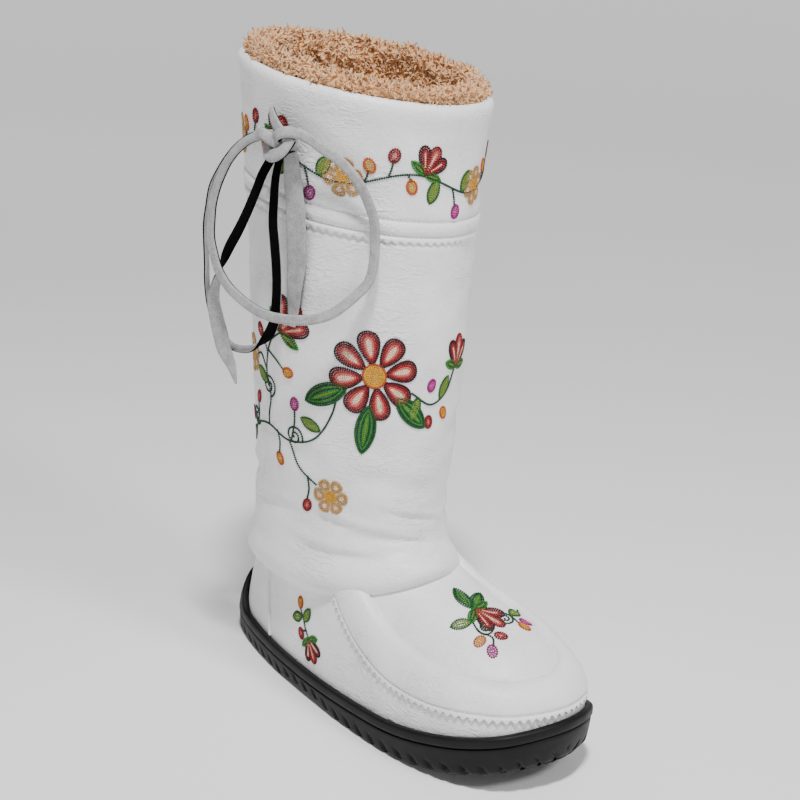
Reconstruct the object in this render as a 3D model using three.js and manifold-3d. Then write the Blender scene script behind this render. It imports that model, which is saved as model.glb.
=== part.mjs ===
import * as THREE from "three";
import Module from "manifold-3d";

// A right mukluk boot: a rubber cup sole, a soft leather foot and shaft, and a wool lining.
// Millimetres, +Z up, +X to the toe, +Y to the wearer's left, which is the boot's medial side.
// The boot stands on z = 0, and x = 0 is the middle of its sole.

// Driving dimensions
const soleLength = 277;
const ballWidth = 108;
const bootHeight = 370;
const collarDepth = 152;
const collarWidth = 143;
const clearance = 0.3;

// The sole
const soleThickness = 24;
const floorThickness = 10;
const toeSpring = 18;
const archRise = 3;
const heelBevel = 2.5;
const heelCupRise = 23;
const heelCupLean = 7;
const rimWall = 4.5;
const lipHeight = 5.5;
const grooveHeight = 1.3;
const grooveDepth = 0.9;
const grooveSlope = 0.2;
const sideInset = 0.6;
const edgeTuck = 4;
const edgeRise = 2.2;
const edgeRound = 1.4;
const mouthRound = 0.8;

// The lugs
const notchPitch = 11;
const notchWidth = 3;
const notchDepth = 7;
const notchHeight = 4.5;
const notchSlant = 0.5;
const barPitch = 15;
const barGap = 4;
const barDepth = 4;
const barMargin = 13;
const cutterDepth = 2;

// The leather and the footbed
const leather = 2.4;
const instepHeight = 126;
const beadHeight = 2.4;
const vampThickness = 1.6;
const vampStand = 0.8;
const seamHeight = 1.5;
const seamWidth = 2.4;
const insoleThickness = 7;
const insoleMargin = 1.3;
const insoleRound = 2;

// The cuff, its rolled rim and the wool
const cuffThickness = 1.6;
const bandHeight = 1;
const bandMargin = 5;
const bandWidth = 9;
const bandSlope = 2;
const rimRise = 2.4;
const rimPuff = 1.1;
const rimDepth = 8;
const hookDepth = 6;
const woolDepth = 8.5;
const woolRise = 7.5;
const lockHeight = 4.5;
const lockWidth = 10;

// The lace
const laceWidth = 11;
const laceThickness = 2.4;
const loopWidth = 5.5;
const knotLength = 21;
const knotHeight = 16;
const knotDepth = 12;

// How finely round forms are cut
const sideSteps = 28;
const shaftSteps = 32;
const ankleRings = 8;
const strandSides = 8;
const hollowOverrun = 10;

// Where the sole's and the upper's features begin and end, as shares of the sole's length.
const FEATURES = {
  bevelEnd: 0.07,
  cupEnd: 0.12,
  archBack: 0.3,
  archFront: 0.53,
  archRamp: 0.07,
  springStart: 0.66,
  beadStart: 0.42,
  beadFull: 0.56,
  vampBack: 0.44,
};

// The sole's edge from the heel along the lateral side to the toe, and back along the medial
// side, as shares of the sole's length and of the ball's width.
const OUTLINE = [
  { along: 0.0, across: 0.0 },
  { along: 0.015, across: -0.165 },
  { along: 0.05, across: -0.268 },
  { along: 0.12, across: -0.345 },
  { along: 0.25, across: -0.422 },
  { along: 0.42, across: -0.476 },
  { along: 0.58, across: -0.493 },
  { along: 0.7, across: -0.485 },
  { along: 0.8, across: -0.447 },
  { along: 0.89, across: -0.37 },
  { along: 0.96, across: -0.225 },
  { along: 1.0, across: 0.11 },
  { along: 0.967, across: 0.37 },
  { along: 0.91, across: 0.455 },
  { along: 0.82, across: 0.495 },
  { along: 0.72, across: 0.485 },
  { along: 0.6, across: 0.435 },
  { along: 0.45, across: 0.36 },
  { along: 0.3, across: 0.332 },
  { along: 0.12, across: 0.335 },
  { along: 0.05, across: 0.262 },
  { along: 0.015, across: 0.16 },
];
const TOE_ROW = 11;

// The height of the sole's side along the foot, as a share of its height at the toe.
const SIDE = [
  { along: 0.0, height: 0.78 },
  { along: 0.25, height: 0.74 },
  { along: 0.5, height: 0.77 },
  { along: 0.7, height: 0.88 },
  { along: 0.85, height: 0.98 },
  { along: 1.0, height: 1.0 },
];

// The last's ridge: its height as a share of the instep's and its place across as a share of the
// ball's width.
const RIDGE = [
  { along: 0.15, height: 1.0, across: 0.0 },
  { along: 0.35, height: 0.98, across: 0.0 },
  { along: 0.48, height: 0.89, across: 0.03 },
  { along: 0.61, height: 0.72, across: 0.08 },
  { along: 0.7, height: 0.635, across: 0.1 },
  { along: 0.8, height: 0.568, across: 0.11 },
  { along: 0.88, height: 0.53, across: 0.115 },
];
const ridgeBack = 0.17;
const ridgeFront = 0.84;

// The foot's sides along the sole's edge: where the shoulder's seam lies on the way in to the
// ridge and up to it on each side, how full the side is below it, and how far it leans in.
const SIDES = [
  { along: 0.0, lateralIn: 0.5, lateralUp: 0.9, medialIn: 0.5, medialUp: 0.9, full: 2.2, lean: 0.3 },
  { along: 0.3, lateralIn: 0.45, lateralUp: 0.9, medialIn: 0.5, medialUp: 0.93, full: 2.6, lean: 0.06 },
  { along: 0.5, lateralIn: 0.3, lateralUp: 0.74, medialIn: 0.46, medialUp: 0.9, full: 2.5, lean: 0.0 },
  { along: 0.65, lateralIn: 0.245, lateralUp: 0.6, medialIn: 0.44, medialUp: 0.86, full: 2.5, lean: 0.0 },
  { along: 0.8, lateralIn: 0.24, lateralUp: 0.57, medialIn: 0.4, medialUp: 0.84, full: 2.8, lean: 0.0 },
  { along: 0.93, lateralIn: 0.33, lateralUp: 0.54, medialIn: 0.36, medialUp: 0.76, full: 2.7, lean: 0.05 },
  { along: 1.0, lateralIn: 0.38, lateralUp: 0.56, medialIn: 0.38, medialUp: 0.58, full: 2.7, lean: 0.05 },
];

// The rows of the foot's skin: shares of the way in to the shoulder's seam, then from the seam
// to the ridge, and how much of the raised shoulder each carries.
const FOOT_ROWS = [
  { toSeam: 0.0, toRidge: 0, bead: 0 },
  { toSeam: 0.01, toRidge: 0, bead: 0 },
  { toSeam: 0.05, toRidge: 0, bead: 0 },
  { toSeam: 0.14, toRidge: 0, bead: 0.1 },
  { toSeam: 0.28, toRidge: 0, bead: 0.4 },
  { toSeam: 0.46, toRidge: 0, bead: 0.8 },
  { toSeam: 0.66, toRidge: 0, bead: 1.0 },
  { toSeam: 0.84, toRidge: 0, bead: 0.8 },
  { toSeam: 0.95, toRidge: 0, bead: 0.25 },
  { toSeam: 1.0, toRidge: 0.02, bead: -0.1 },
  { toSeam: 1.0, toRidge: 0.12, bead: 0 },
  { toSeam: 1.0, toRidge: 0.35, bead: 0 },
  { toSeam: 1.0, toRidge: 0.65, bead: 0 },
  { toSeam: 1.0, toRidge: 0.9, bead: 0 },
];

// The vamp's pinked edge, as a share of the instep's height.
const VAMP_EDGE = [
  { along: 0.44, height: 0.63 },
  { along: 0.49, height: 0.535 },
  { along: 0.54, height: 0.45 },
  { along: 0.59, height: 0.385 },
  { along: 0.65, height: 0.333 },
  { along: 0.71, height: 0.31 },
  { along: 0.79, height: 0.308 },
  { along: 0.88, height: 0.325 },
  { along: 1.0, height: 0.355 },
];

// The counter seams: shares along the sole at their foot and at their head, and how high they
// reach as a share of the instep's height.
const COUNTER_SEAM = { foot: 0.24, head: 0.172, top: 0.62 };

// The shaft's rings: heights as shares of the boot's height, the centre as a share of the sole's
// length from the heel, depths and widths as shares of the collar's, the slope to the front, and
// the lift of the fold over the instep as a share of the height.
const SHAFT = [
  { up: 0.17, centre: 0.338, depth: 0.7, width: 0.44, slope: 0, lift: 0.058 },
  { up: 0.175, centre: 0.336, depth: 0.95, width: 0.6, slope: 0, lift: 0.058 },
  { up: 0.184, centre: 0.334, depth: 1.065, width: 0.7, slope: 0, lift: 0.058 },
  { up: 0.2, centre: 0.334, depth: 1.09, width: 0.735, slope: 0, lift: 0.058 },
  { up: 0.22, centre: 0.329, depth: 1.035, width: 0.74, slope: 0, lift: 0.054 },
  { up: 0.247, centre: 0.323, depth: 0.945, width: 0.735, slope: 0, lift: 0.044 },
  { up: 0.295, centre: 0.32, depth: 0.905, width: 0.735, slope: 0, lift: 0.026 },
  { up: 0.36, centre: 0.318, depth: 0.895, width: 0.745, slope: 0.01, lift: 0 },
  { up: 0.45, centre: 0.316, depth: 0.915, width: 0.785, slope: -0.02, lift: 0 },
  { up: 0.6, centre: 0.309, depth: 0.948, width: 0.845, slope: -0.07, lift: 0 },
  { up: 0.793, centre: 0.297, depth: 0.967, width: 0.907, slope: -0.128, lift: 0 },
  { up: 0.88, centre: 0.291, depth: 0.975, width: 0.94, slope: -0.157, lift: 0 },
  { up: 1.0, centre: 0.288, depth: 1.0, width: 1.0, slope: -0.17, lift: 0 },
];

const cuffFrom = 0.793;
const cuffStand = clearance + cuffThickness;
const woolFrom = 0.32;
const hookEnd = 1 - hookDepth / bootHeight;
const hookClear = 1 - (2 * hookDepth) / bootHeight;

// The cuff's section: the shaft's height share that each corner is measured from, how far above
// it the corner is, and how far out from the shaft's leather. It starts at the pinked edge, goes
// up outside, rolls over the collar and comes back down inside it.
const CUFF = [
  { up: cuffFrom, above: 0, out: cuffStand },
  { up: cuffFrom, above: bandMargin, out: cuffStand },
  { up: cuffFrom, above: bandMargin + bandSlope, out: cuffStand + bandHeight },
  { up: cuffFrom, above: bandMargin + bandWidth - bandSlope, out: cuffStand + bandHeight },
  { up: cuffFrom, above: bandMargin + bandWidth, out: cuffStand },
  { up: 0.88, above: 0, out: cuffStand },
  { up: 1, above: -rimDepth - rimRise, out: cuffStand },
  { up: 1, above: -rimRise, out: cuffStand + rimPuff },
  { up: 1, above: rimRise / 2, out: cuffStand },
  { up: 1, above: rimRise, out: -leather / 2 },
  { up: 1, above: 0, out: -leather - cuffStand },
  { up: hookEnd, above: 0, out: -leather - cuffStand },
  { up: hookEnd, above: 0, out: -leather - clearance },
  { up: 1, above: clearance, out: -leather - clearance },
  { up: 1, above: clearance, out: clearance },
  { up: 0.88, above: 0, out: clearance },
  { up: cuffFrom, above: 0, out: clearance },
];

// The wool's section, in the same columns: up along the shaft's inside, round the hook of the
// cuff, over the rim and back down.
const WOOL = [
  { up: woolFrom, above: 0, out: -leather - clearance },
  { up: 0.36, above: 0, out: -leather - clearance },
  { up: 0.45, above: 0, out: -leather - clearance },
  { up: 0.6, above: 0, out: -leather - clearance },
  { up: cuffFrom, above: 0, out: -leather - clearance },
  { up: 0.88, above: 0, out: -leather - clearance },
  { up: hookClear, above: 0, out: -leather - clearance },
  { up: hookEnd, above: -2 * clearance, out: -leather - cuffStand - clearance },
  { up: 1, above: rimRise, out: -leather - cuffStand - clearance },
  { up: 1, above: rimRise + 0.35 * woolRise, out: -leather },
  { up: 1, above: rimRise + 0.8 * woolRise, out: -leather - 0.1 * woolDepth },
  { up: 1, above: rimRise + woolRise, out: -leather - 0.5 * woolDepth },
  { up: 1, above: rimRise + 0.8 * woolRise, out: -leather - woolDepth },
  { up: hookEnd, above: 0, out: -leather - 1.3 * woolDepth },
  { up: cuffFrom, above: 0, out: -leather - 1.1 * woolDepth },
  { up: 0.45, above: 0, out: -leather - woolDepth },
  { up: woolFrom, above: 0, out: -leather - 0.7 * woolDepth },
];

// The wool's locks: rows round the rim, where each stands, how it leans out, and how many.
const LOCKS = [
  { above: 0.65, out: -0.3, lean: 0.75, count: 16 },
  { above: 0.85, out: -0.55, lean: 0.1, count: 16 },
  { above: 0.5, out: -1.1, lean: -0.9, count: 12 },
];

const knotPlace = new THREE.Vector3(-36, -71.7, 335);
const knotFacing = new THREE.Vector3(0.19, -0.98, 0);

// The lace's strands run from the knot: the bow's two loops come back to it, and the tails end free.
const FRONT_LOOP = [
  [-31, -72, 339], [-23, -73, 341], [-17, -69, 338], [-12, -65, 334], [-6, -60, 330], [-1, -55, 324],
  [3, -50, 316], [5, -46, 308], [7, -43, 299], [8, -42, 289], [9, -43, 274], [8, -45, 265],
  [5, -50, 258], [2, -56, 252], [-2, -61, 247], [-9, -67, 243], [-18, -72, 241], [-27, -75, 240],
  [-37, -78, 240], [-46, -81, 242], [-55, -84, 246], [-64, -87, 252], [-71, -89, 260], [-75, -90, 269],
  [-77, -91, 278], [-77, -91, 288], [-76, -91, 297], [-74, -90, 306], [-70, -89, 315], [-65, -88, 323],
  [-59, -86, 330], [-52, -84, 335], [-45, -81, 338], [-40, -75, 339],
];
const BACK_LOOP = [
  [-42, -71, 338], [-52, -74, 338], [-62, -75, 336], [-71, -78, 330], [-79, -80, 322], [-85, -82, 313],
  [-90, -83, 304], [-93, -83, 293], [-95, -83, 283], [-96, -82, 272], [-96, -81, 259], [-95, -81, 247],
  [-93, -80, 235], [-91, -77, 225], [-84, -76, 217], [-75, -75, 213], [-63, -73, 214], [-53, -72, 219],
  [-46, -71, 226], [-42, -70, 235], [-41, -70, 244], [-41, -70, 255], [-41, -71, 267], [-42, -72, 279],
  [-43, -73, 291], [-43, -73, 303], [-41, -74, 315], [-39, -73, 328],
];
const TAIL_A = [
  [-42, -73, 333], [-46, -74, 325], [-50, -76, 317], [-55, -77, 306], [-61, -78, 294], [-66, -80, 283],
  [-72, -82, 272], [-78, -83, 260], [-81, -84, 250], [-83, -84, 240], [-81, -83, 230], [-78, -82, 221],
  [-75, -81, 212], [-70, -79, 203], [-66, -78, 193],
];
const TAIL_B = [
  [-33, -71, 332], [-33, -70, 327], [-33, -69, 319], [-32, -68, 309], [-31, -67, 299], [-31, -66, 289],
  [-31, -65, 277], [-32, -64, 266], [-33, -64, 254], [-34, -63, 244], [-35, -63, 233],
];

const wasm = await Module();
wasm.setup();

const clamp = (value, low, high) => Math.min(Math.max(value, low), high);
const mix = (a, b, share) => a + (b - a) * share;

// 0 before the first place, 1 after the second, and smooth between them.
function ease(from, to, at) {
  const share = clamp((at - from) / (to - from), 0, 1);
  return share * share * (3 - 2 * share);
}

// The value of a table's column at any place, on a smooth curve through its rows.
function readTable(rows, key, column, place) {
  const last = rows.length - 1;
  const at = clamp(place, rows[0][key], rows[last][key]);
  let i = 0;
  while (i < last - 1 && at > rows[i + 1][key]) i += 1;
  const slope = (k) => {
    const before = rows[Math.max(k - 1, 0)];
    const after = rows[Math.min(k + 1, last)];
    return (after[column] - before[column]) / (after[key] - before[key]);
  };
  const span = rows[i + 1][key] - rows[i][key];
  const t = (at - rows[i][key]) / span;
  const start = (2 * t ** 3 - 3 * t ** 2 + 1) * rows[i][column];
  const end = (3 * t ** 2 - 2 * t ** 3) * rows[i + 1][column];
  const leaving = (t ** 3 - 2 * t ** 2 + t) * span * slope(i);
  const arriving = (t ** 3 - t ** 2) * span * slope(i + 1);
  return start + end + leaving + arriving;
}

const lengthwise = (share) => (share - 0.5) * soleLength;
const shareOf = (x) => x / soleLength + 0.5;

function solidFrom(corners, faces) {
  return new wasm.Manifold(
    new wasm.Mesh({
      numProp: 3,
      vertProperties: new Float32Array(corners),
      triVerts: new Uint32Array(faces),
    }),
  );
}

const flat = (rings) => rings.flat().flatMap((point) => [point.x, point.y, point.z]);

// The faces between rings of equally many points, each of which starts at the heel and runs along
// the lateral side first. Walls that go up and walls that go down are cut along the same
// diagonals, so that two that face each other fit.
function ringFaces(rings, rows) {
  const count = rings[0].length;
  const faces = [];
  for (let row = 0; row < rows; row += 1) {
    const next = (row + 1) % rings.length;
    for (let i = 0; i < count; i += 1) {
      const [a, b] = [row * count + i, row * count + ((i + 1) % count)];
      const [c, d] = [next * count + ((i + 1) % count), next * count + i];
      const falls = rings[next][i].z < rings[row][i].z;
      faces.push(...(falls ? [[a, b, d], [b, c, d]] : [[a, b, c], [a, c, d]]));
    }
  }
  return faces;
}

// A closed band whose rings go round its section, back to the first.
const hoop = (rings) => solidFrom(flat(rings), ringFaces(rings, rings.length).flat());

// A closed solid whose first and last rings are closed across from side to side.
function loft(rings) {
  const count = rings[0].length;
  const faces = ringFaces(rings, rings.length - 1);
  const closeAcross = (first, facesUp) => {
    for (let i = 0; i < count / 2; i += 1) {
      const quad = [i, i + 1, count - i - 1, (count - i) % count].map((k) => first + k);
      if (!facesUp) quad.reverse();
      for (const face of [[quad[0], quad[1], quad[2]], [quad[0], quad[2], quad[3]]]) {
        if (new Set(face).size === 3) faces.push(face);
      }
    }
  };
  closeAcross(0, false);
  closeAcross((rings.length - 1) * count, true);
  return solidFrom(flat(rings), faces.flat());
}

// The same rings with every point moved out of the surface by a distance.
function grown(rings, distance) {
  const count = rings[0].length;
  return rings.map((ring, row) =>
    ring.map((point, i) => {
      const around = ring[(i + 1) % count].clone().sub(ring[(i + count - 1) % count]);
      const above = rings[Math.min(row + 1, rings.length - 1)][i].clone();
      const up = above.sub(rings[Math.max(row - 1, 0)][i]);
      return point.clone().addScaledVector(around.cross(up).normalize(), distance);
    }),
  );
}

// A ring moved straight up.
const raised = (ring, height) => ring.map((p) => p.clone().setZ(p.z + height));

function joined(first, ...others) {
  return others.reduce((sum, next) => sum.add(next), first);
}

// A solid from one of the three.js geometries.
function solidOf(geometry) {
  const bare = geometry.index ? geometry.toNonIndexed() : geometry;
  const place = bare.getAttribute("position");
  const numbers = new Map();
  const corners = [];
  const faces = [];
  for (let i = 0; i < place.count; i += 1) {
    const corner = [place.getX(i), place.getY(i), place.getZ(i)];
    const name = corner.map((value) => value.toFixed(4)).join();
    if (!numbers.has(name)) {
      numbers.set(name, numbers.size);
      corners.push(...corner);
    }
    faces.push(numbers.get(name));
  }
  return solidFrom(corners, faces);
}

function geometryOf(solid) {
  const mesh = solid.getMesh();
  const corners = new Float32Array(mesh.numVert * 3);
  for (let i = 0; i < mesh.numVert; i += 1) {
    corners.set(mesh.vertProperties.subarray(i * mesh.numProp, i * mesh.numProp + 3), i * 3);
  }
  return new THREE.BufferGeometry()
    .setAttribute("position", new THREE.BufferAttribute(corners, 3))
    .setIndex(new THREE.BufferAttribute(mesh.triVerts, 1));
}

// The sole's edge: equally spaced points along each side, the heel's first.
function traceOutline() {
  const corners = OUTLINE.map(
    (row) => new THREE.Vector3(lengthwise(row.along), row.across * ballWidth, 0),
  );
  const curve = new THREE.CatmullRomCurve3(corners, true, "centripetal");
  const toe = TOE_ROW / OUTLINE.length;
  const side = (from, to) => {
    const fine = 400;
    const points = [];
    for (let k = 0; k <= fine; k += 1) points.push(curve.getPoint(mix(from, to, k / fine)));
    const path = new THREE.CurvePath();
    for (let k = 0; k < fine; k += 1) path.add(new THREE.LineCurve3(points[k], points[k + 1]));
    return path.getSpacedPoints(sideSteps).slice(0, sideSteps);
  };
  return [...side(0, toe), ...side(toe, 1)];
}

const edge = traceOutline();
const edgeNormal = edge.map((point, i) => {
  const next = edge[(i + 1) % edge.length];
  const before = edge[(i + edge.length - 1) % edge.length];
  return new THREE.Vector3(next.y - before.y, before.x - next.x, 0).normalize();
});

// How far the toe's spring lifts the sole.
function springAt(share) {
  const { springStart } = FEATURES;
  return toeSpring * clamp((share - springStart) / (1 - springStart), 0, 1) ** 2;
}

// The sole's underside: the toe springs up, the arch and the back of the heel are off the floor.
function underside(x) {
  const share = shareOf(x);
  const { archBack, archFront, archRamp, bevelEnd } = FEATURES;
  const archIn = ease(archBack, archBack + archRamp, share);
  const archOut = ease(archFront - archRamp, archFront, share);
  const bevel = heelBevel * clamp(1 - share / bevelEnd, 0, 1) ** 2;
  return springAt(share) + archRise * archIn * (1 - archOut) + bevel;
}

// The line of the sole's lip, and the top of its side, which rises from it to a cup at the heel.
function lipTop(x) {
  const share = shareOf(x);
  return readTable(SIDE, "along", "height", share) * soleThickness + springAt(share);
}

// How much of the heel's cup there is, from 0 at the quarters to 1 at the back.
const cupShare = (x) => 1 - ease(0, FEATURES.cupEnd, shareOf(x));
const rimTop = (x) => lipTop(x) + heelCupRise * cupShare(x);
const cupLean = (x, up) => heelCupLean * (cupShare(x) * up) ** 2;

// A ring along the sole's edge, a distance in from it, with its height worked out from x. Where
// the ring is on the heel's cup, `up` says how far up the cup it is, and the ring leans with it.
function edgeRing(inset, height, up = 0) {
  return edge.map((point, i) => {
    const depth = inset + cupLean(point.x, up);
    const moved = point.clone().addScaledVector(edgeNormal[i], -depth);
    return moved.setZ(height(point.x));
  });
}

// Half way between the lip's lower edge and the top of the rim, less a drop.
const cupMiddle = (drop) => (x) => (lipTop(x) - lipHeight + rimTop(x) - drop) / 2;

// A box that cuts the sole up to a height above a place on its underside.
function cutter(length, width, height, place, turn) {
  const box = new THREE.BoxGeometry(length, width, height + cutterDepth);
  box.translate(0, 0, (height - cutterDepth) / 2);
  box.applyMatrix4(new THREE.Matrix4().makeRotationFromEuler(turn).setPosition(place));
  return solidOf(box);
}

// Slanted notches round the lower edge of the sole's side.
function edgeNotches() {
  const rim = edge.reduce((sum, point, i) => sum + point.distanceTo(edge[(i + 1) % edge.length]), 0);
  const count = Math.round(rim / notchPitch);
  const loop = new THREE.CatmullRomCurve3(edge, true);
  return Array.from({ length: count }, (_, k) => {
    const at = k / count;
    const place = loop.getPointAt(at);
    const ahead = loop.getTangentAt(at);
    const slant = ahead.y < 0 || ahead.x > 0 ? notchSlant : -notchSlant;
    place.z = underside(place.x);
    const turn = new THREE.Euler(0, slant, Math.atan2(ahead.y, ahead.x), "ZYX");
    return cutter(notchWidth, 2 * notchDepth, notchHeight, place, turn);
  });
}

// Gaps across the tread, which leave bars between them and a plain margin at the edge.
function treadGaps() {
  const from = lengthwise(0) + barMargin;
  const to = lengthwise(1) - barMargin;
  const gaps = [];
  for (let x = from + barPitch / 2; x < to; x += barPitch) {
    const sides = [x - barGap / 2, x + barGap / 2].map((at) => acrossAt(at, barMargin));
    const low = Math.max(...sides.map((side) => side[0]));
    const high = Math.min(...sides.map((side) => side[1]));
    const share = shareOf(x);
    const onArch = share > FEATURES.archBack && share < FEATURES.archFront;
    if (onArch || high - low < barPitch) continue;
    const place = new THREE.Vector3(x, (low + high) / 2, underside(x));
    gaps.push(cutter(barGap, high - low, barDepth, place, new THREE.Euler(0, 0, 0)));
  }
  return gaps;
}

function buildOutsole() {
  const up = (height) => (x) => underside(x) + height;
  const below = (drop) => (x) => lipTop(x) - drop;
  const rim = (drop) => (x) => rimTop(x) - drop;
  const shell = loft([
    edgeRing(edgeTuck, up(0)),
    edgeRing(edgeTuck / 2, up(edgeRise)),
    edgeRing(sideInset, below(lipHeight + grooveHeight)),
    edgeRing(sideInset + grooveDepth, below(lipHeight + grooveHeight - grooveSlope)),
    edgeRing(sideInset + grooveDepth, below(lipHeight + grooveSlope)),
    edgeRing(0, below(lipHeight)),
    edgeRing(0, cupMiddle(edgeRound), 0.5),
    edgeRing(0, rim(edgeRound), 1),
    edgeRing(edgeRound, rim(0), 1),
    edgeRing(rimWall - mouthRound, rim(0), 1),
    edgeRing(rimWall, rim(mouthRound), 1),
    edgeRing(rimWall, cupMiddle(mouthRound), 0.5),
    edgeRing(rimWall, up(floorThickness)),
  ]);
  return shell.subtract(joined(...edgeNotches(), ...treadGaps()));
}

// The leather foot, from the floor of the sole's cup to the ridge of the last.
function footRings() {
  const inset = rimWall + clearance;
  const lowest = edgeRing(inset, (x) => underside(x) + floorThickness + clearance);
  const middle = edgeRing(inset, cupMiddle(mouthRound), 0.5);
  const feather = edgeRing(inset, (x) => rimTop(x) - mouthRound, 1);
  const rows = FOOT_ROWS.map(({ toSeam, toRidge, bead }) =>
    feather.map((foot, i) => {
      const share = clamp(shareOf(foot.x), 0, 1);
      const ridge = mix(ridgeBack, ridgeFront, share);
      const look = (column) => readTable(SIDES, "along", column, share);
      const top = new THREE.Vector3(
        lengthwise(ridge),
        readTable(RIDGE, "along", "across", ridge) * ballWidth,
        readTable(RIDGE, "along", "height", ridge) * instepHeight,
      );
      const side = i <= sideSteps ? "lateral" : "medial";
      const seamIn = look(side + "In");
      const seamUp = look(side + "Up");
      const full = look("full");
      const wall = (1 - (1 - toSeam) ** full) ** (1 / full);
      const inward = mix(seamIn * toSeam, 1, toRidge);
      const rise = mix(seamUp * wall, 1, toRidge * (2 - toRidge));
      const out = (1 - inward) * (1 - look("lean") * rise);
      return new THREE.Vector3(
        mix(top.x, foot.x, out),
        mix(top.y, foot.y, out),
        mix(foot.z, top.z, rise) + beadHeight * bead * ease(FEATURES.beadStart, FEATURES.beadFull, share),
      );
    }),
  );
  return [lowest, middle, ...rows];
}

// A ring round the shaft from a row of its table, a distance out from its leather and above it.
// Under the cuff the leather stands back, so that the cuff's outside keeps the collar's size.
function shaftRing(row, out = 0, above = 0) {
  const stand = out - (row.up >= cuffFrom ? cuffStand : 0);
  return Array.from({ length: shaftSteps }, (_, i) => {
    const angle = Math.PI + (2 * Math.PI * i) / shaftSteps;
    const x = Math.cos(angle) * ((row.depth * collarDepth) / 2 + stand);
    const y = Math.sin(angle) * ((row.width * collarWidth) / 2 + stand);
    const forward = (1 + Math.cos(angle)) / 2;
    const z = (row.up + row.lift * forward ** 5) * bootHeight + row.slope * x + above;
    return new THREE.Vector3(lengthwise(row.centre) + x, y, z);
  });
}

// The rings of a band that follows the shaft, from the corners of its section.
function bandRings(section) {
  return section.map(({ up, above, out }) => {
    const row = Object.fromEntries(
      Object.keys(SHAFT[0]).map((column) => [column, readTable(SHAFT, "up", column, up)]),
    );
    return shaftRing({ ...row, up }, out, above);
  });
}

const foot = footRings();
const shaft = SHAFT.map((row) => shaftRing(row));

const everySecond = (rows) => rows.filter((_, i) => i % 2 === 0 || i === rows.length - 1);

// The forms inside the leather, run on past its open ends.
function hollow(wall) {
  const walls = grown(foot, -wall);
  const innerFoot = [...walls.slice(0, 3), ...everySecond(walls.slice(3))];
  const tube = grown(shaft, -wall);
  const below = raised(innerFoot[0], -hollowOverrun);
  const over = raised(tube[tube.length - 1], hollowOverrun);
  return loft([below, ...innerFoot]).add(loft([...tube, over]));
}

// All that lies above the vamp's pinked edge, a distance lower down.
function aboveVampEdge(drop) {
  const along = VAMP_EDGE.map((row) => row.along);
  const outline = new THREE.Shape();
  outline.moveTo(lengthwise(along[0]), bootHeight);
  for (let k = 0; k <= sideSteps; k += 1) {
    const share = mix(along[0], along[along.length - 1], k / sideSteps);
    const height = readTable(VAMP_EDGE, "along", "height", share) * instepHeight - drop;
    outline.lineTo(lengthwise(share), height);
  }
  outline.lineTo(lengthwise(1), bootHeight);
  const block = new THREE.ExtrudeGeometry(outline, { depth: 2 * ballWidth, bevelEnabled: false });
  return solidOf(block.rotateX(Math.PI / 2).translate(0, ballWidth, 0));
}

// The skin of the foot between two distances from its leather.
const footShell = (inner, outer) => loft(grown(foot, outer)).subtract(loft(grown(foot, inner)));

// Under the vamp the foot's leather stands back by as much as the vamp sinks in.
function buildUpper() {
  const sunk = loft(grown(foot, vampStand - vampThickness - clearance));
  const skin = loft(foot).subtract(aboveVampEdge(clearance)).add(sunk);
  return skin.add(loft(shaft)).subtract(hollow(leather));
}

function buildVamp() {
  const shell = footShell(vampStand - vampThickness, vampStand);
  return shell.intersect(aboveVampEdge(0)).subtract(loft(grown(shaft, clearance)));
}

// Piping on the seam between the quarter and the counter, on one side of the heel.
function buildCounterSeam(side) {
  const { foot: footShare, head, top } = COUNTER_SEAM;
  const [from, to] = [lengthwise(footShare), lengthwise(head)];
  const height = top * instepHeight;
  const slat = new THREE.Shape();
  slat.moveTo(from - seamWidth / 2, 0);
  slat.lineTo(from + seamWidth / 2, 0);
  slat.lineTo(to + seamWidth / 2, height);
  slat.lineTo(to - seamWidth / 2, height);
  const block = new THREE.ExtrudeGeometry(slat, { depth: ballWidth, bevelEnabled: false });
  block.rotateX(Math.PI / 2).translate(0, side > 0 ? ballWidth : 0, 0);
  const strip = footShell(clearance, seamHeight).intersect(solidOf(block));
  const clear = raised(edgeRing(0, rimTop, 1), clearance);
  const under = loft([edgeRing(0, underside), clear]);
  return strip.subtract(under).subtract(loft(grown(shaft, clearance)));
}

// A lock of wool: a cone that stands on a place and leans.
function lock(place, direction) {
  const cone = new THREE.ConeGeometry(lockWidth / 2, 2 * lockHeight, 4);
  const turn = new THREE.Quaternion().setFromUnitVectors(new THREE.Vector3(0, 1, 0), direction);
  cone.applyQuaternion(turn).translate(place.x, place.y, place.z);
  return solidOf(cone);
}

function buildLining() {
  const locks = LOCKS.flatMap(({ above, out, lean, count }) => {
    const section = { up: 1, above: rimRise + above * woolRise, out: -leather + out * woolDepth };
    const ring = bandRings([section])[0];
    const path = new THREE.CatmullRomCurve3(ring, true);
    return Array.from({ length: count }, (_, k) => {
      const place = path.getPointAt(k / count);
      const ahead = path.getTangentAt(k / count);
      const outward = new THREE.Vector3(ahead.y, -ahead.x, 0).normalize();
      return lock(place, outward.multiplyScalar(lean).setZ(1).normalize());
    });
  });
  return joined(hoop(bandRings(WOOL)), ...locks);
}

// The knot's lump, a distance larger all round.
function knot(more = 0) {
  const ball = new THREE.SphereGeometry(0.5, 12, 8);
  ball.scale(knotLength + 2 * more, knotDepth + 2 * more, knotHeight + 2 * more);
  ball.rotateZ(Math.atan2(knotFacing.x, -knotFacing.y));
  return solidOf(ball.translate(knotPlace.x, knotPlace.y, knotPlace.z));
}

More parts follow.
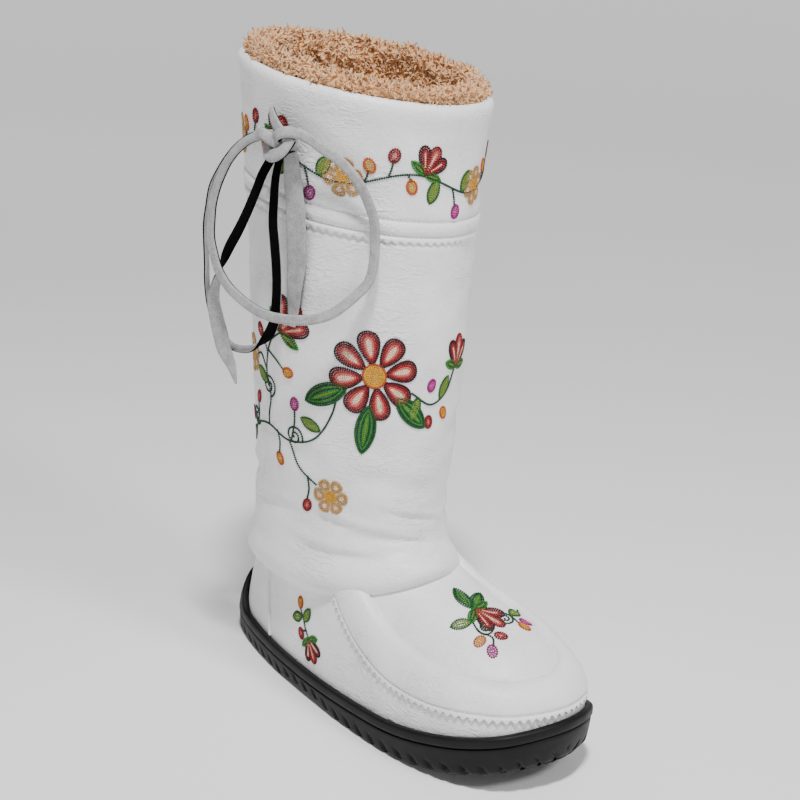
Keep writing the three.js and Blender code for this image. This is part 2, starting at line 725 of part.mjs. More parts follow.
// A strand of the lace along its points, cut back from the knot.
function strand(points, width, thickness, steps) {
  const path = new THREE.CatmullRomCurve3(points.map((place) => new THREE.Vector3(...place)));
  const section = new THREE.Shape();
  for (let i = 0; i < strandSides; i += 1) {
    const angle = (2 * Math.PI * (i + 0.5)) / strandSides;
    const corner = [(Math.cos(angle) * width) / 2, (Math.sin(angle) * thickness) / 2];
    if (i === 0) section.moveTo(...corner);
    else section.lineTo(...corner);
  }
  return solidOf(new THREE.ExtrudeGeometry(section, { steps, extrudePath: path })).subtract(
    knot(clearance),
  );
}

// The sole's sides at a place along it, a margin in from its edge.
function acrossAt(x, margin) {
  const ring = edgeRing(margin, underside);
  const sides = ring.flatMap((point, i) => {
    const next = ring[(i + 1) % ring.length];
    if (point.x < x === next.x < x) return [];
    return [mix(point.y, next.y, (x - point.x) / (next.x - point.x))];
  });
  return [Math.min(...sides), Math.max(...sides)];
}

function buildInsole() {
  const inset = rimWall + clearance + leather + insoleMargin;
  const at = (height) => (x) => underside(x) + floorThickness + clearance + height;
  return loft([
    edgeRing(inset, at(0)),
    edgeRing(inset, at(insoleThickness - insoleRound)),
    edgeRing(inset + insoleRound, at(insoleThickness)),
  ]);
}

const rubber = new THREE.MeshStandardMaterial({ color: 0x222222, roughness: 0.6, metalness: 0 });
const white = new THREE.MeshStandardMaterial({ color: 0xefeff0, roughness: 0.45, metalness: 0 });
const fleece = new THREE.MeshStandardMaterial({ color: 0xe2c7a6, roughness: 0.95, metalness: 0 });
const suede = new THREE.MeshStandardMaterial({ color: 0xb9b9b9, roughness: 0.9, metalness: 0 });

function named(name, solid, material) {
  const mesh = new THREE.Mesh(geometryOf(solid), material);
  mesh.name = name;
  return mesh;
}

const boot = new THREE.Group();
boot.add(
  named("outsole", buildOutsole(), rubber),
  named("insole", buildInsole(), fleece),
  named("upper", buildUpper(), white),
  named("vamp", buildVamp(), white),
  named("heel_seam_lateral", buildCounterSeam(-1), white),
  named("heel_seam_medial", buildCounterSeam(1), white),
  named("cuff", hoop(bandRings(CUFF)), white),
  named("shearling_lining", buildLining(), fleece),
  named("lace_knot", knot(), suede),
  named("lace_loop_front", strand(FRONT_LOOP, loopWidth, loopWidth, 20), suede),
  named("lace_loop_back", strand(BACK_LOOP, loopWidth - 1, loopWidth - 1, 22), suede),
  named("lace_tail_front", strand(TAIL_A, laceThickness, laceWidth / 2, 10), suede),
  named("lace_tail_back", strand(TAIL_B, laceWidth, laceThickness, 6), suede),
);

export default boot;
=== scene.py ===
"""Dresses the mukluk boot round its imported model: leather, wool, rubber, lace and beadwork.

Metres, +Z up, +X to the toe, -Y to the boot's lateral side. A place round the shaft is given in
degrees from its back, through the lateral side (90) and the front (180) to the medial side (270).
"""
import logging
import math
from dataclasses import dataclass
from enum import Enum
from typing import Callable, Sequence

import bmesh
import bpy
import numpy as np
from mathutils import Matrix, Vector, noise
from mathutils.bvhtree import BVHTree

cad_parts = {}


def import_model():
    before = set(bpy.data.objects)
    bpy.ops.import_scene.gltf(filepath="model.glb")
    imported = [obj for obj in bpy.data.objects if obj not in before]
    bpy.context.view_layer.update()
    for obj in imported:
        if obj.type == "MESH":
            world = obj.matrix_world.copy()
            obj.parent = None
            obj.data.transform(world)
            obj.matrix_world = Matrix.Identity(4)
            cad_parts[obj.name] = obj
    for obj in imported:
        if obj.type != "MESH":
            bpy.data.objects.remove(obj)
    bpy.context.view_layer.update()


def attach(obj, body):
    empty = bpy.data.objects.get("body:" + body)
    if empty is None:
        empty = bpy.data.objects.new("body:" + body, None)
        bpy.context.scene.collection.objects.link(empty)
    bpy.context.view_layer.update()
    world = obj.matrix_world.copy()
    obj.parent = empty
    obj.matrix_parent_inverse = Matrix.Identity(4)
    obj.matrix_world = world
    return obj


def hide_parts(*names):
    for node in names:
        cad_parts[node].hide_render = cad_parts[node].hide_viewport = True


Array = np.ndarray
Rows = tuple[tuple[float, ...], ...]
Place = tuple[float, float]
Triple = tuple[float, float, float]
Material = bpy.types.Material
Mesh = bpy.types.Mesh
Thing = bpy.types.Object
Socket = bpy.types.NodeSocket

MM = 0.001
ARC_PER_DEGREE = 1.2 * MM  # how far round the shaft a degree is
LOG = logging.getLogger("boot")


# Numbers and curves


def ease(start: float, end: float, at: Array) -> Array:
    """Returns 0 before the first place, 1 after the second, and a smooth share between."""
    share = np.clip((at - start) / (end - start), 0, 1)
    return share * share * (3 - 2 * share)


def mix(first: Array, second: Array, share: Array) -> Array:
    """Returns the value a share of the way from the first to the second."""
    return first + (second - first) * share


def unit(vectors: Array) -> Array:
    """Returns the vectors at length 1."""
    return vectors / np.maximum(np.linalg.norm(vectors, axis=-1, keepdims=True), 1e-12)


def curve_through(points: Array, closed: bool, fine: int) -> Array:
    """Draws a centripetal curve through points.

    Args:
        points: the places that the curve passes.
        closed: whether it comes back to its start.
        fine: how many points it gets between two places.

    Returns:
        The curve's points, with the last place where it is open.
    """
    places = np.asarray(points, dtype=float)
    if closed:
        padded = np.vstack([places[-1:], places, places[:2]])
    else:
        padded = np.vstack([2 * places[0] - places[1], places, 2 * places[-1] - places[-2]])
    steps = np.linspace(0, 1, fine, endpoint=False)[:, None]
    curve = []
    for before, start, end, after in zip(padded, padded[1:], padded[2:], padded[3:]):
        gaps = [np.linalg.norm(b - a) ** 0.5 for a, b in ((before, start), (start, end), (end, after))]
        chord = (end - start) / gaps[1]
        leave = (start - before) / gaps[0] - (end - before) / (gaps[0] + gaps[1]) + chord
        arrive = chord - (after - start) / (gaps[1] + gaps[2]) + (after - end) / gaps[2]
        leave, arrive = leave * gaps[1], arrive * gaps[1]
        square = 3 * (end - start) - 2 * leave - arrive
        cube = 2 * (start - end) + leave + arrive
        curve.append(start + steps * (leave + steps * (square + steps * cube)))
    if not closed:
        curve.append(places[-1:])
    return np.vstack(curve)


def lengths_along(points: Array) -> Array:
    """Returns each point's distance along the line from its first point."""
    return np.concatenate([[0.0], np.cumsum(np.linalg.norm(np.diff(points, axis=0), axis=1))])


def at_lengths(points: Array, along: Array, places: Array) -> Array:
    """Returns a line's points at places, by each point's distance along it."""
    return np.stack([np.interp(places, along, column) for column in points.T], axis=-1)


def spaced(points: Array, count: int) -> Array:
    """Returns `count` equally spaced points along a line, its ends among them."""
    along = lengths_along(points)
    return at_lengths(points, along, np.linspace(0, along[-1], count))


def all_round(columns: int) -> Array:
    """Returns equal steps of a whole turn, in degrees."""
    return np.linspace(0, 360, columns, endpoint=False)


def reached(start: Place, turn: float, reach: float) -> Place:
    """Returns the flat place at a reach from the start, in a direction in degrees."""
    way = math.radians(turn)
    return (start[0] + math.cos(way) * reach, start[1] + math.sin(way) * reach)


def pinking(along: Array, pitch: float, depth: float) -> Array:
    """Works out a sawtooth edge.

    Args:
        along: lengths along the edge.
        pitch: from one tooth to the next.
        depth: how deep the teeth are cut.

    Returns:
        How far in from the edge the cut is at each length.
    """
    sharp = 0.96
    wave = np.arcsin(sharp * np.sin(2 * math.pi * along / pitch)) / math.asin(sharp)
    return depth * (1 + wave) / 2


@dataclass(frozen=True)
class Table:
    """Rows of named columns, the first of which is the place that they are read at."""

    columns: str
    rows: Rows

    def read(self, column: str, at: Array) -> Array:
        """Reads a column on a smooth curve through its rows.

        Args:
            column: the column's name.
            at: places in the first column, outside of which the end rows hold.

        Returns:
            The column's values there.
        """
        data = np.array(self.rows)
        key, value = data[:, 0], data[:, self.columns.split().index(column)]
        at = np.clip(at, key[0], key[-1])
        row = np.clip(np.searchsorted(key, at, side="right") - 1, 0, len(key) - 2)
        before = np.maximum(np.arange(len(key)) - 1, 0)
        after = np.minimum(np.arange(len(key)) + 1, len(key) - 1)
        slope = (value[after] - value[before]) / (key[after] - key[before])
        span = key[row + 1] - key[row]
        t = (at - key[row]) / span
        ends = (2 * t**3 - 3 * t**2 + 1) * value[row] + (3 * t**2 - 2 * t**3) * value[row + 1]
        return ends + span * ((t**3 - 2 * t**2 + t) * slope[row] + (t**3 - t**2) * slope[row + 1])


# The boot's tables, in the same shares as its solids

OUTLINE = (
    (0.0, 0.0), (0.015, -0.165), (0.05, -0.268), (0.12, -0.345), (0.25, -0.422), (0.42, -0.476),
    (0.58, -0.493), (0.7, -0.485), (0.8, -0.447), (0.89, -0.37), (0.96, -0.225), (1.0, 0.11),
    (0.967, 0.37), (0.91, 0.455), (0.82, 0.495), (0.72, 0.485), (0.6, 0.435), (0.45, 0.36),
    (0.3, 0.332), (0.12, 0.335), (0.05, 0.262), (0.015, 0.16),
)
TOE_ROW = 11
SIDE = Table("along height", ((0, 0.78), (0.25, 0.74), (0.5, 0.77), (0.7, 0.88), (0.85, 0.98), (1, 1)))
RIDGE = Table("along height across", (
    (0.15, 1.0, 0.0), (0.35, 0.98, 0.0), (0.48, 0.89, 0.03), (0.61, 0.72, 0.08),
    (0.7, 0.635, 0.1), (0.8, 0.568, 0.11), (0.88, 0.53, 0.115),
))
SIDES = Table("along lateral_in lateral_up medial_in medial_up full lean", (
    (0.0, 0.5, 0.9, 0.5, 0.9, 2.2, 0.3), (0.3, 0.45, 0.9, 0.5, 0.93, 2.6, 0.06),
    (0.5, 0.3, 0.74, 0.46, 0.9, 2.5, 0.0), (0.65, 0.245, 0.6, 0.44, 0.86, 2.5, 0.0),
    (0.8, 0.24, 0.57, 0.4, 0.84, 2.8, 0.0), (0.93, 0.33, 0.54, 0.36, 0.76, 2.7, 0.05),
    (1.0, 0.38, 0.57, 0.38, 0.57, 2.7, 0.05),
))
BEAD = Table("girth raise", (
    (0.0, 0.0), (0.05, 0.0), (0.14, 0.1), (0.28, 0.4), (0.46, 0.85), (0.66, 1.2), (0.84, 1.15),
    (0.95, 0.5), (1.02, -0.45), (1.1, -0.1), (1.35, 0.0), (2.0, 0.0),
))
VAMP_EDGE = Table("along height", (
    (0.44, 0.63), (0.49, 0.535), (0.54, 0.45), (0.59, 0.385), (0.65, 0.333), (0.71, 0.31),
    (0.79, 0.308), (0.88, 0.325), (1.0, 0.355),
))
SHAFT = Table("up centre depth width slope lift", (
    (0.17, 0.338, 0.7, 0.44, 0, 0.058), (0.175, 0.336, 0.95, 0.6, 0, 0.058),
    (0.184, 0.334, 1.065, 0.7, 0, 0.058), (0.2, 0.334, 1.09, 0.735, 0, 0.058),
    (0.22, 0.329, 1.035, 0.74, 0, 0.054), (0.247, 0.323, 0.945, 0.735, 0, 0.044),
    (0.295, 0.32, 0.905, 0.735, 0, 0.026), (0.36, 0.318, 0.895, 0.745, 0.01, 0),
    (0.45, 0.316, 0.915, 0.785, -0.02, 0), (0.6, 0.309, 0.948, 0.845, -0.07, 0),
    (0.793, 0.297, 0.967, 0.907, -0.128, 0), (0.88, 0.291, 0.975, 0.94, -0.157, 0),
    (1.0, 0.288, 1.0, 1.0, -0.17, 0),
))

# The shaft's main creases: from and to a place round it in degrees and up it in millimetres, and
# how wide and deep each soft trough is in millimetres, with a ridge above it.
CREASES = (
    (112, 120, 168, 99, 3.2, 0.9), (126, 109, 182, 92, 2.6, 0.8), (96, 99, 150, 87, 3.6, 0.8),
    (150, 126, 196, 108, 3.0, 0.7), (60, 112, 104, 118, 4.0, 0.7), (20, 124, 66, 131, 4.5, 0.9),
    (-40, 128, 16, 121, 4.5, 1.0), (-30, 103, 40, 99, 4.0, 1.2), (206, 112, 250, 124, 3.4, 0.8),
    (214, 98, 262, 108, 3.0, 0.8), (262, 119, 312, 110, 3.8, 0.9), (130, 150, 190, 138, 6.0, 0.5),
    (70, 168, 122, 150, 7.0, 0.5), (196, 172, 240, 190, 7.0, 0.5), (120, 206, 150, 196, 5.0, 0.3),
)


@dataclass(frozen=True)
class Sizes:
    """The boot's driving sizes, which its solids have too."""

    sole_length: float = 277 * MM
    ball_width: float = 108 * MM
    height: float = 370 * MM
    collar_depth: float = 152 * MM
    collar_width: float = 143 * MM
    clearance: float = 0.3 * MM
    sole_thickness: float = 24 * MM
    floor_thickness: float = 10 * MM
    toe_spring: float = 18 * MM
    arch_rise: float = 3 * MM
    heel_bevel: float = 2.5 * MM
    cup_rise: float = 23 * MM
    cup_lean: float = 7 * MM
    cup_end: float = 0.12
    rim_wall: float = 4.5 * MM
    lip_height: float = 5.5 * MM
    side_inset: float = 0.6 * MM
    mouth_round: float = 0.8 * MM
    instep: float = 126 * MM
    shoulder: float = 2.4 * MM
    leather: float = 2.4 * MM
    cuff_stand: float = 1.9 * MM
    cuff_from: float = 0.793
    wool_from: float = 0.32


class Last:
    """The boot's skin, worked out from its tables as finely as a mesh asks for."""

    ridge_back = 0.17
    ridge_front = 0.84
    spring_from = 0.66
    arch_from = 0.3
    arch_to = 0.53
    arch_blend = 0.07
    bevel_to = 0.07
    shoulder_from = 0.42
    shoulder_full = 0.56
    toe_blend = 0.06
    fold_narrowing = 5
    fold_bottom = 0.205

    def __init__(self, sizes: Sizes) -> None:
        """Keeps the sizes."""
        self.sizes = sizes

    def x(self, share: Array) -> Array:
        """Returns how far forward a share of the sole's length is."""
        return (share - 0.5) * self.sizes.sole_length

    def share(self, x: Array) -> Array:
        """Returns the share of the sole's length at a place."""
        return x / self.sizes.sole_length + 0.5

    def edge(self, steps: int) -> tuple[Array, Array]:
        """Traces the sole's edge from the heel along the lateral side and back.

        Args:
            steps: how many equal steps each side gets.

        Returns:
            The points of the edge and its outward directions, in plan.
        """
        corners = np.array(OUTLINE)
        corners = np.stack([self.x(corners[:, 0]), corners[:, 1] * self.sizes.ball_width], axis=-1)
        fine = 40
        loop = curve_through(corners, True, fine)
        loop = np.vstack([loop, loop[:1]])
        toe = TOE_ROW * fine
        ring = np.vstack([spaced(loop[: toe + 1], steps + 1)[:-1], spaced(loop[toe:], steps + 1)[:-1]])
        ahead = np.roll(ring, -1, axis=0) - np.roll(ring, 1, axis=0)
        return ring, unit(np.stack([ahead[:, 1], -ahead[:, 0]], axis=-1))

    def spring(self, x: Array) -> Array:
        """Returns how far the toe's spring lifts the sole."""
        ahead = (self.share(x) - self.spring_from) / (1 - self.spring_from)
        return self.sizes.toe_spring * np.clip(ahead, 0, 1) ** 2

    def underside(self, x: Array) -> Array:
        """Returns the height of the sole's underside."""
        share = self.share(x)
        rise = ease(self.arch_from, self.arch_from + self.arch_blend, share)
        arch = rise * (1 - ease(self.arch_to - self.arch_blend, self.arch_to, share))
        bevel = self.sizes.heel_bevel * np.clip(1 - share / self.bevel_to, 0, 1) ** 2
        return self.spring(x) + self.sizes.arch_rise * arch + bevel

    def lip_top(self, x: Array) -> Array:
        """Returns the height of the sole's lip."""
        return SIDE.read("height", self.share(x)) * self.sizes.sole_thickness + self.spring(x)

    def cup(self, x: Array) -> Array:
        """Returns how much of the heel's cup there is at a place."""
        return 1 - ease(0, self.sizes.cup_end, self.share(x))

    def rim_top(self, x: Array) -> Array:
        """Returns the height of the sole's rim, with the cup at its heel."""
        return self.lip_top(x) + self.sizes.cup_rise * self.cup(x)

    def foot(self, girths: Array, steps: int) -> Array:
        """Works out the leather of the foot.

        Args:
            girths: rows, from 0 at the sole's rim over 1 at the shoulder's seam to 2 at the ridge.
            steps: how many steps each side of the edge gets.

        Returns:
            A grid of points: a row for each girth and a column for each step round the edge.
        """
        sizes = self.sizes
        ring, outward = self.edge(steps)
        inset = sizes.rim_wall + sizes.clearance + sizes.cup_lean * self.cup(ring[:, 0]) ** 2
        feet = ring - outward * inset[:, None]
        feet_z = self.rim_top(ring[:, 0]) - sizes.mouth_round
        share = np.clip(self.share(feet[:, 0]), 0, 1)
        ridge = mix(self.ridge_back, self.ridge_front, share)
        top_x = self.x(ridge)
        top_y = RIDGE.read("across", ridge) * sizes.ball_width
        top_z = RIDGE.read("height", ridge) * sizes.instep
        medial = ease(1 - self.toe_blend, 1 + self.toe_blend, np.arange(2 * steps) / steps)
        seam_in = mix(SIDES.read("lateral_in", share), SIDES.read("medial_in", share), medial)
        seam_up = mix(SIDES.read("lateral_up", share), SIDES.read("medial_up", share), medial)
        full = SIDES.read("full", share)
        to_seam = np.clip(girths, 0, 1)[:, None]
        to_ridge = np.clip(girths - 1, 0, 1)[:, None]
        wall = (1 - (1 - to_seam) ** full) ** (1 / full)
        inward = mix(seam_in * to_seam, 1, to_ridge)
        rise = mix(seam_up * wall, 1, to_ridge * (2 - to_ridge))
        out = (1 - inward) * (1 - SIDES.read("lean", share) * rise)
        forward = ease(self.shoulder_from, self.shoulder_full, share)
        z = mix(feet_z, top_z, rise) + sizes.shoulder * BEAD.read("raise", girths)[:, None] * forward
        return np.stack([mix(top_x, feet[:, 0], out), mix(top_y, feet[:, 1], out), z], axis=-1)

    def shaft(self, around: Array, up: Array, out: Array = 0.0, above: Array = 0.0) -> Array:
        """Works out the leather of the shaft.

        Args:
            around: places round the shaft, in degrees from its back.
            up: heights as shares of the boot's height.
            out: how far out from the leather's outside, before the cuff pushes it in.
            above: how far above the height.

        Returns:
            The points, of the shape that the arguments give together.
        """
        sizes = self.sizes
        angle = np.radians(around) + math.pi
        x = np.cos(angle) * (SHAFT.read("depth", up) * sizes.collar_depth / 2 + out)
        y = np.sin(angle) * (SHAFT.read("width", up) * sizes.collar_width / 2 + out)
        forward = ((1 + np.cos(angle)) / 2) ** self.fold_narrowing
        z = (up + SHAFT.read("lift", up) * forward) * sizes.height + SHAFT.read("slope", up) * x + above
        return np.stack([self.x(SHAFT.read("centre", up)) + x, y, z], axis=-1)

    def band(self, around: Array, level: Array, out: Array) -> Array:
        """Works out a band round the shaft.

        Args:
            around: a row of places round the shaft, in degrees.
            level: the band's heights along the shaft's middle, of any shape that fits `around`.
            out: how far out from the shaft's leather each is.

        Returns:
            The band's points.
        """
        up = np.minimum(level / self.sizes.height, 1.0)
        stand = np.where(up >= self.sizes.cuff_from - 0.002, self.sizes.cuff_stand, 0.0)
        return self.shaft(around, up, out - stand, level - up * self.sizes.height)

    def inside_shaft(self, points: Array, margin: float) -> Array:
        """Finds what the shaft hides.

        Args:
            points: places on the foot.
            margin: how deep in the shaft's tube a place has to be.

        Returns:
            Which of them are that deep in it.
        """
        up = points[..., 2] / self.sizes.height
        for _ in range(4):
            x = points[..., 0] - self.x(SHAFT.read("centre", up))
            angle = np.arctan2(points[..., 1], x)
            lift = SHAFT.read("lift", up) * ((1 + np.cos(angle)) / 2) ** self.fold_narrowing
            up = (points[..., 2] - SHAFT.read("slope", up) * x) / self.sizes.height - lift
        depth = SHAFT.read("depth", up) * self.sizes.collar_depth / 2 - margin
        width = SHAFT.read("width", up) * self.sizes.collar_width / 2 - margin
        return ((x / depth) ** 2 + (points[..., 1] / width) ** 2 < 1) & (up > self.fold_bottom)

    def vamp_height(self, x: Array) -> Array:
        """Returns the height of the vamp's pinked edge."""
        return VAMP_EDGE.read("height", self.share(x)) * self.sizes.instep


def grown(grid: Array, distance: Array, closed: bool = True) -> Array:
    """Returns a grid moved out of its surface: rows go up, and columns round to the right."""
    return grid + normals_of(grid, closed) * np.asarray(distance)[..., None]


def normals_of(grid: Array, closed: bool = True) -> Array:
    """Works out which way a grid faces.

    Args:
        grid: points in rows that go up and columns that go round, seen from outside.
        closed: whether the last column joins the first.

    Returns:
        The outward direction at each point.
    """
    if closed:
        around = np.roll(grid, -1, axis=1) - np.roll(grid, 1, axis=1)
    else:
        around = np.gradient(grid, axis=1)
    return unit(np.cross(around, np.gradient(grid, axis=0)))


# Meshes and pieces


class Mould:
    """Collects grids of points and makes one mesh of them."""

    merge = 0.02 * MM

    def __init__(self) -> None:
        """Starts with nothing in it."""
        self.points: list[Array] = []
        self.faces: list[Array] = []
        self.kinds: list[Array] = []
        self.count = 0

    def add(self, grid: Array, closed: bool = False, kind: int = 0, keep: Array | None = None) -> None:
        """Adds a grid.

        Args:
            grid: points in rows that go up and columns that go round, seen from outside.
            closed: whether the last column joins the first.
            kind: the number of the material.
            keep: which points stay; a face goes where one of its corners does.
        """
        rows, columns = grid.shape[:2]
        numbers = np.arange(rows * columns).reshape(rows, columns)
        right = np.roll(numbers, -1, axis=1) if closed else numbers[:, 1:]
        left = numbers if closed else numbers[:, :-1]
        faces = np.stack([left[:-1], right[:-1], right[1:], left[1:]], axis=-1).reshape(-1, 4)
        if keep is not None:
            faces = faces[keep.reshape(-1)[faces].all(axis=1)]
        self.points.append(grid.reshape(-1, 3))
        self.faces.append(faces + self.count)
        self.kinds.append(np.full(len(faces), kind))
        self.count += rows * columns

    def mesh(self, name: str, sharp: float = 60.0) -> Mesh:
        """Makes the mesh, its doubles merged and loose points gone.

        Args:
            name: the mesh's name.
            sharp: the angle in degrees above which an edge isn't smooth.

        Returns:
            The mesh.
        """
        mesh = bpy.data.meshes.new(name)
        mesh.from_pydata(np.vstack(self.points).tolist(), [], np.vstack(self.faces).tolist())
        mesh.polygons.foreach_set("material_index", np.concatenate(self.kinds))
        work = bmesh.new()
        work.from_mesh(mesh)
        bmesh.ops.remove_doubles(work, verts=work.verts, dist=self.merge)
        loose = [point for point in work.verts if not point.link_faces]
        bmesh.ops.delete(work, geom=loose, context="VERTS")
        work.to_mesh(mesh)
        work.free()
        mesh.shade_smooth()
        mesh.set_sharp_from_angle(angle=math.radians(sharp))
        return mesh


def across(ring: Array, rows: int, height: Callable[[Array], Array] | None = None) -> Array:
    """Fills a ring from its lateral side to its medial one.

    Args:
        ring: points from the heel along the lateral side to the toe and back.
        rows: how many rows of points it gets.
        height: what sets the height of each point between the ends, or None.

    Returns:
        A grid whose first row is the lateral side and whose last is the medial one.
    """
    half = len(ring) // 2
    lateral = ring[: half + 1]
    medial = np.vstack([ring[:1], ring[: half - 1 : -1]])
    grid = mix(lateral[None], medial[None], np.linspace(0, 1, rows)[:, None, None])
    if height is not None:
        grid[1:-1, :, 2] = height(grid[1:-1])
    return grid


def turned_out(mesh: Mesh) -> Mesh:
    """Closes a mesh's open ends and turns its faces out.

    Args:
        mesh: a mesh that encloses its inside, apart from its ends.

    Returns:
        The same mesh.
    """
    work = bmesh.new()
    work.from_mesh(mesh)
    bmesh.ops.holes_fill(work, edges=work.edges, sides=0)
    bmesh.ops.recalc_face_normals(work, faces=work.faces)
    work.to_mesh(mesh)
    work.free()
    return mesh


def piece(
    name: str, mesh: Mesh, finishes: Sequence[Material], replaces: Sequence[str] = ()
) -> Thing:
    """Adds a piece of the boot that rides on its body.

    Args:
        name: the piece's name.
        mesh: its mesh, in the boot's own frame.
        finishes: its materials, in the order of the mesh's numbers.
        replaces: the solids that it stands for.

    Returns:
        The object.
    """
    thing = bpy.data.objects.new(name, mesh)
    bpy.context.scene.collection.objects.link(thing)
    for finish in finishes:
        mesh.materials.append(finish)
    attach(thing, "root")
    if replaces:
        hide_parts(*replaces)
    LOG.info("%s: %d faces", name, len(mesh.polygons))
    return thing


def thicken(thing: Thing, wall: float, inner: int = 0, rim: int = 0) -> None:
    """Gives a skin its wall, inwards.

    Args:
        thing: the piece.
        wall: how thick it gets.
        inner: how many materials further on the inside's is.
        rim: how many materials further on the rim's is.
    """
    wall_of = thing.modifiers.new("wall", "SOLIDIFY")
    wall_of.thickness = wall
    wall_of.offset = -1
    wall_of.material_offset = inner
    wall_of.material_offset_rim = rim


# Materials


class Wire:
    """A node's output. Arithmetic on it adds Math nodes."""

    def __init__(self, paint: "Paint", socket: Socket) -> None:
        """Keeps the socket and its material's nodes."""
        self.paint = paint
        self.socket = socket

    def _math(self, operation: str, first: object, second: object) -> "Wire":
        """Returns the result of one Math node."""
        return self.paint.node("ShaderNodeMath", {"operation": operation}, {0: first, 1: second})

    def __add__(self, other: object) -> "Wire":
        """Returns the sum."""
        return self._math("ADD", self, other)

    def __sub__(self, other: object) -> "Wire":
        """Returns the difference."""
        return self._math("SUBTRACT", self, other)

    def __rsub__(self, other: object) -> "Wire":
        """Returns the difference from a number."""
        return self._math("SUBTRACT", other, self)

    def __mul__(self, other: object) -> "Wire":
        """Returns the product."""
        return self._math("MULTIPLY", self, other)

    def __abs__(self) -> "Wire":
        """Returns the size without its sign."""
        return self._math("ABSOLUTE", self, 0.0)


def add_node(tree: bpy.types.NodeTree, kind: str, settings: dict, inputs: dict) -> bpy.types.Node:
    """Adds a node to a material's tree or to a growing one.

    Args:
        tree: the tree.
        kind: the node's type.
        settings: its properties, set first; "stops" are a ramp's places and colours.
        inputs: values, sockets or wires by socket.

    Returns:
        The node.
    """
    node = tree.nodes.new(kind)
    for name, value in settings.items():
        if name == "stops":
            ramp = node.color_ramp.elements
            while len(ramp) < len(value):
                ramp.new(0.5)
            for stop, (position, colour) in zip(ramp, value):
                stop.position = position
                stop.color = (*colour, 1)
        else:
            setattr(node, name, value)
    for socket, value in inputs.items():
        source = value.socket if isinstance(value, Wire) else value
        if isinstance(source, Socket):
            tree.links.new(source, node.inputs[socket])
        else:
            node.inputs[socket].default_value = source
    return node


class Paint:
    """One material's nodes, round a Principled shader."""

    def __init__(self, name: str, constants: dict[str, object]) -> None:
        """Starts a material.

        Args:
            name: its name.
            constants: what is the same all over the surface, by the shader's sockets.
        """
        self.material = bpy.data.materials.new(name)
        self.material.use_nodes = True
        self.tree = self.material.node_tree
        self.shader = self.tree.nodes["Principled BSDF"]
        for socket, value in constants.items():
            self.shader.inputs[socket].default_value = value
        self.place = self.node("ShaderNodeTexCoord", {}, {}, "Object")

    def node(self, kind: str, settings: dict, inputs: dict, output: str | int = 0) -> Wire:
        """Adds a node and returns the wanted output."""
        return Wire(self, add_node(self.tree, kind, settings, inputs).outputs[output])

    def spots(
        self, scale: float, detail: float = 2, distortion: float = 0, place: Wire | None = None
    ) -> Wire:
        """Returns a cloudy noise of so many spots to the metre."""
        inputs = {"Vector": place or self.place, "Scale": scale, "Detail": detail, "Distortion": distortion}
        return self.node("ShaderNodeTexNoise", {}, inputs, "Fac")

    def stretched(self, turn: Triple, scale: Triple) -> Wire:
        """Returns the place on the piece, turned and stretched."""
        inputs = {"Vector": self.place, "Rotation": turn, "Scale": scale}
        return self.node("ShaderNodeMapping", {}, inputs)

    def ramp(self, value: Wire, stops: list) -> Wire:
        """Returns a colour from a value."""
        return self.node("ShaderNodeValToRGB", {"stops": stops}, {"Fac": value}, "Color")

    def step(self, value: Wire, low: float, high: float) -> Wire:
        """Returns a value spread smoothly from 0 at one place to 1 at another."""
        inputs = {"Value": value, "From Min": low, "From Max": high}
        return self.node("ShaderNodeMapRange", {"interpolation_type": "SMOOTHSTEP"}, inputs)

    def bump(self, height: Wire, distance: float, strength: float = 1.0) -> None:
        """Raises the surface by a height of 0 to 1 times a distance."""
        inputs = {"Height": height, "Distance": distance, "Strength": strength}
        self.set("Normal", self.node("ShaderNodeBump", {}, inputs))

    def set(self, socket: str, value: Wire) -> None:
        """Links a wire to the shader."""
        self.tree.links.new(value.socket, self.shader.inputs[socket])


@dataclass(frozen=True)
class Leather:
    """Smooth white leather with a fine grain and patches of slanted wrinkles."""

    light: Triple = (0.84, 0.84, 0.85)
    shade: Triple = (0.73, 0.73, 0.745)
    grain: float = 900.0
    wrinkle: float = 95.0

    def build(self) -> Material:
        """Returns the material."""
        constants = {"Specular IOR Level": 0.45, "Coat Weight": 0.08, "Coat Roughness": 0.3}
        paint = Paint("white_leather", constants)
        slanted = paint.stretched((0.5, 0.4, 0.7), (1.0, 1.0, 2.6))
        creases = 1 - abs(paint.spots(self.wrinkle, 3, 1.2, slanted) - 0.5) * 6
        patches = paint.step(paint.spots(22, 2), 0.42, 0.66)
        pores = {"Vector": paint.place, "Scale": self.grain}
        cells = paint.node("ShaderNodeTexVoronoi", {}, pores, "Distance")
        height = creases * patches * -0.6 + cells * 0.18 + paint.spots(320, 3) * 0.42
        paint.bump(height, 0.75 * MM, 0.9)
        tone = paint.spots(35, 3) * 0.7 + paint.spots(420, 2) * 0.3
        paint.set("Base Color", paint.ramp(tone, [(0.3, self.shade), (0.6, self.light)]))
        paint.set("Roughness", paint.spots(60, 2) * 0.16 + 0.36)
        return paint.material


@dataclass(frozen=True)
class Rubber:
    """Black moulded rubber, satin, with dull specks."""

    def build(self) -> Material:
        """Returns the material."""
        paint = Paint("sole_rubber", {"Specular IOR Level": 0.22})
        specks = paint.spots(900, 3)
        paint.bump(specks, 0.12 * MM, 0.6)
        colours = [(0.3, (0.002, 0.002, 0.0021)), (0.75, (0.005, 0.005, 0.0053))]
        paint.set("Base Color", paint.ramp(paint.spots(55, 4), colours))
        paint.set("Roughness", paint.spots(120, 3) * 0.22 + 0.4)
        return paint.material


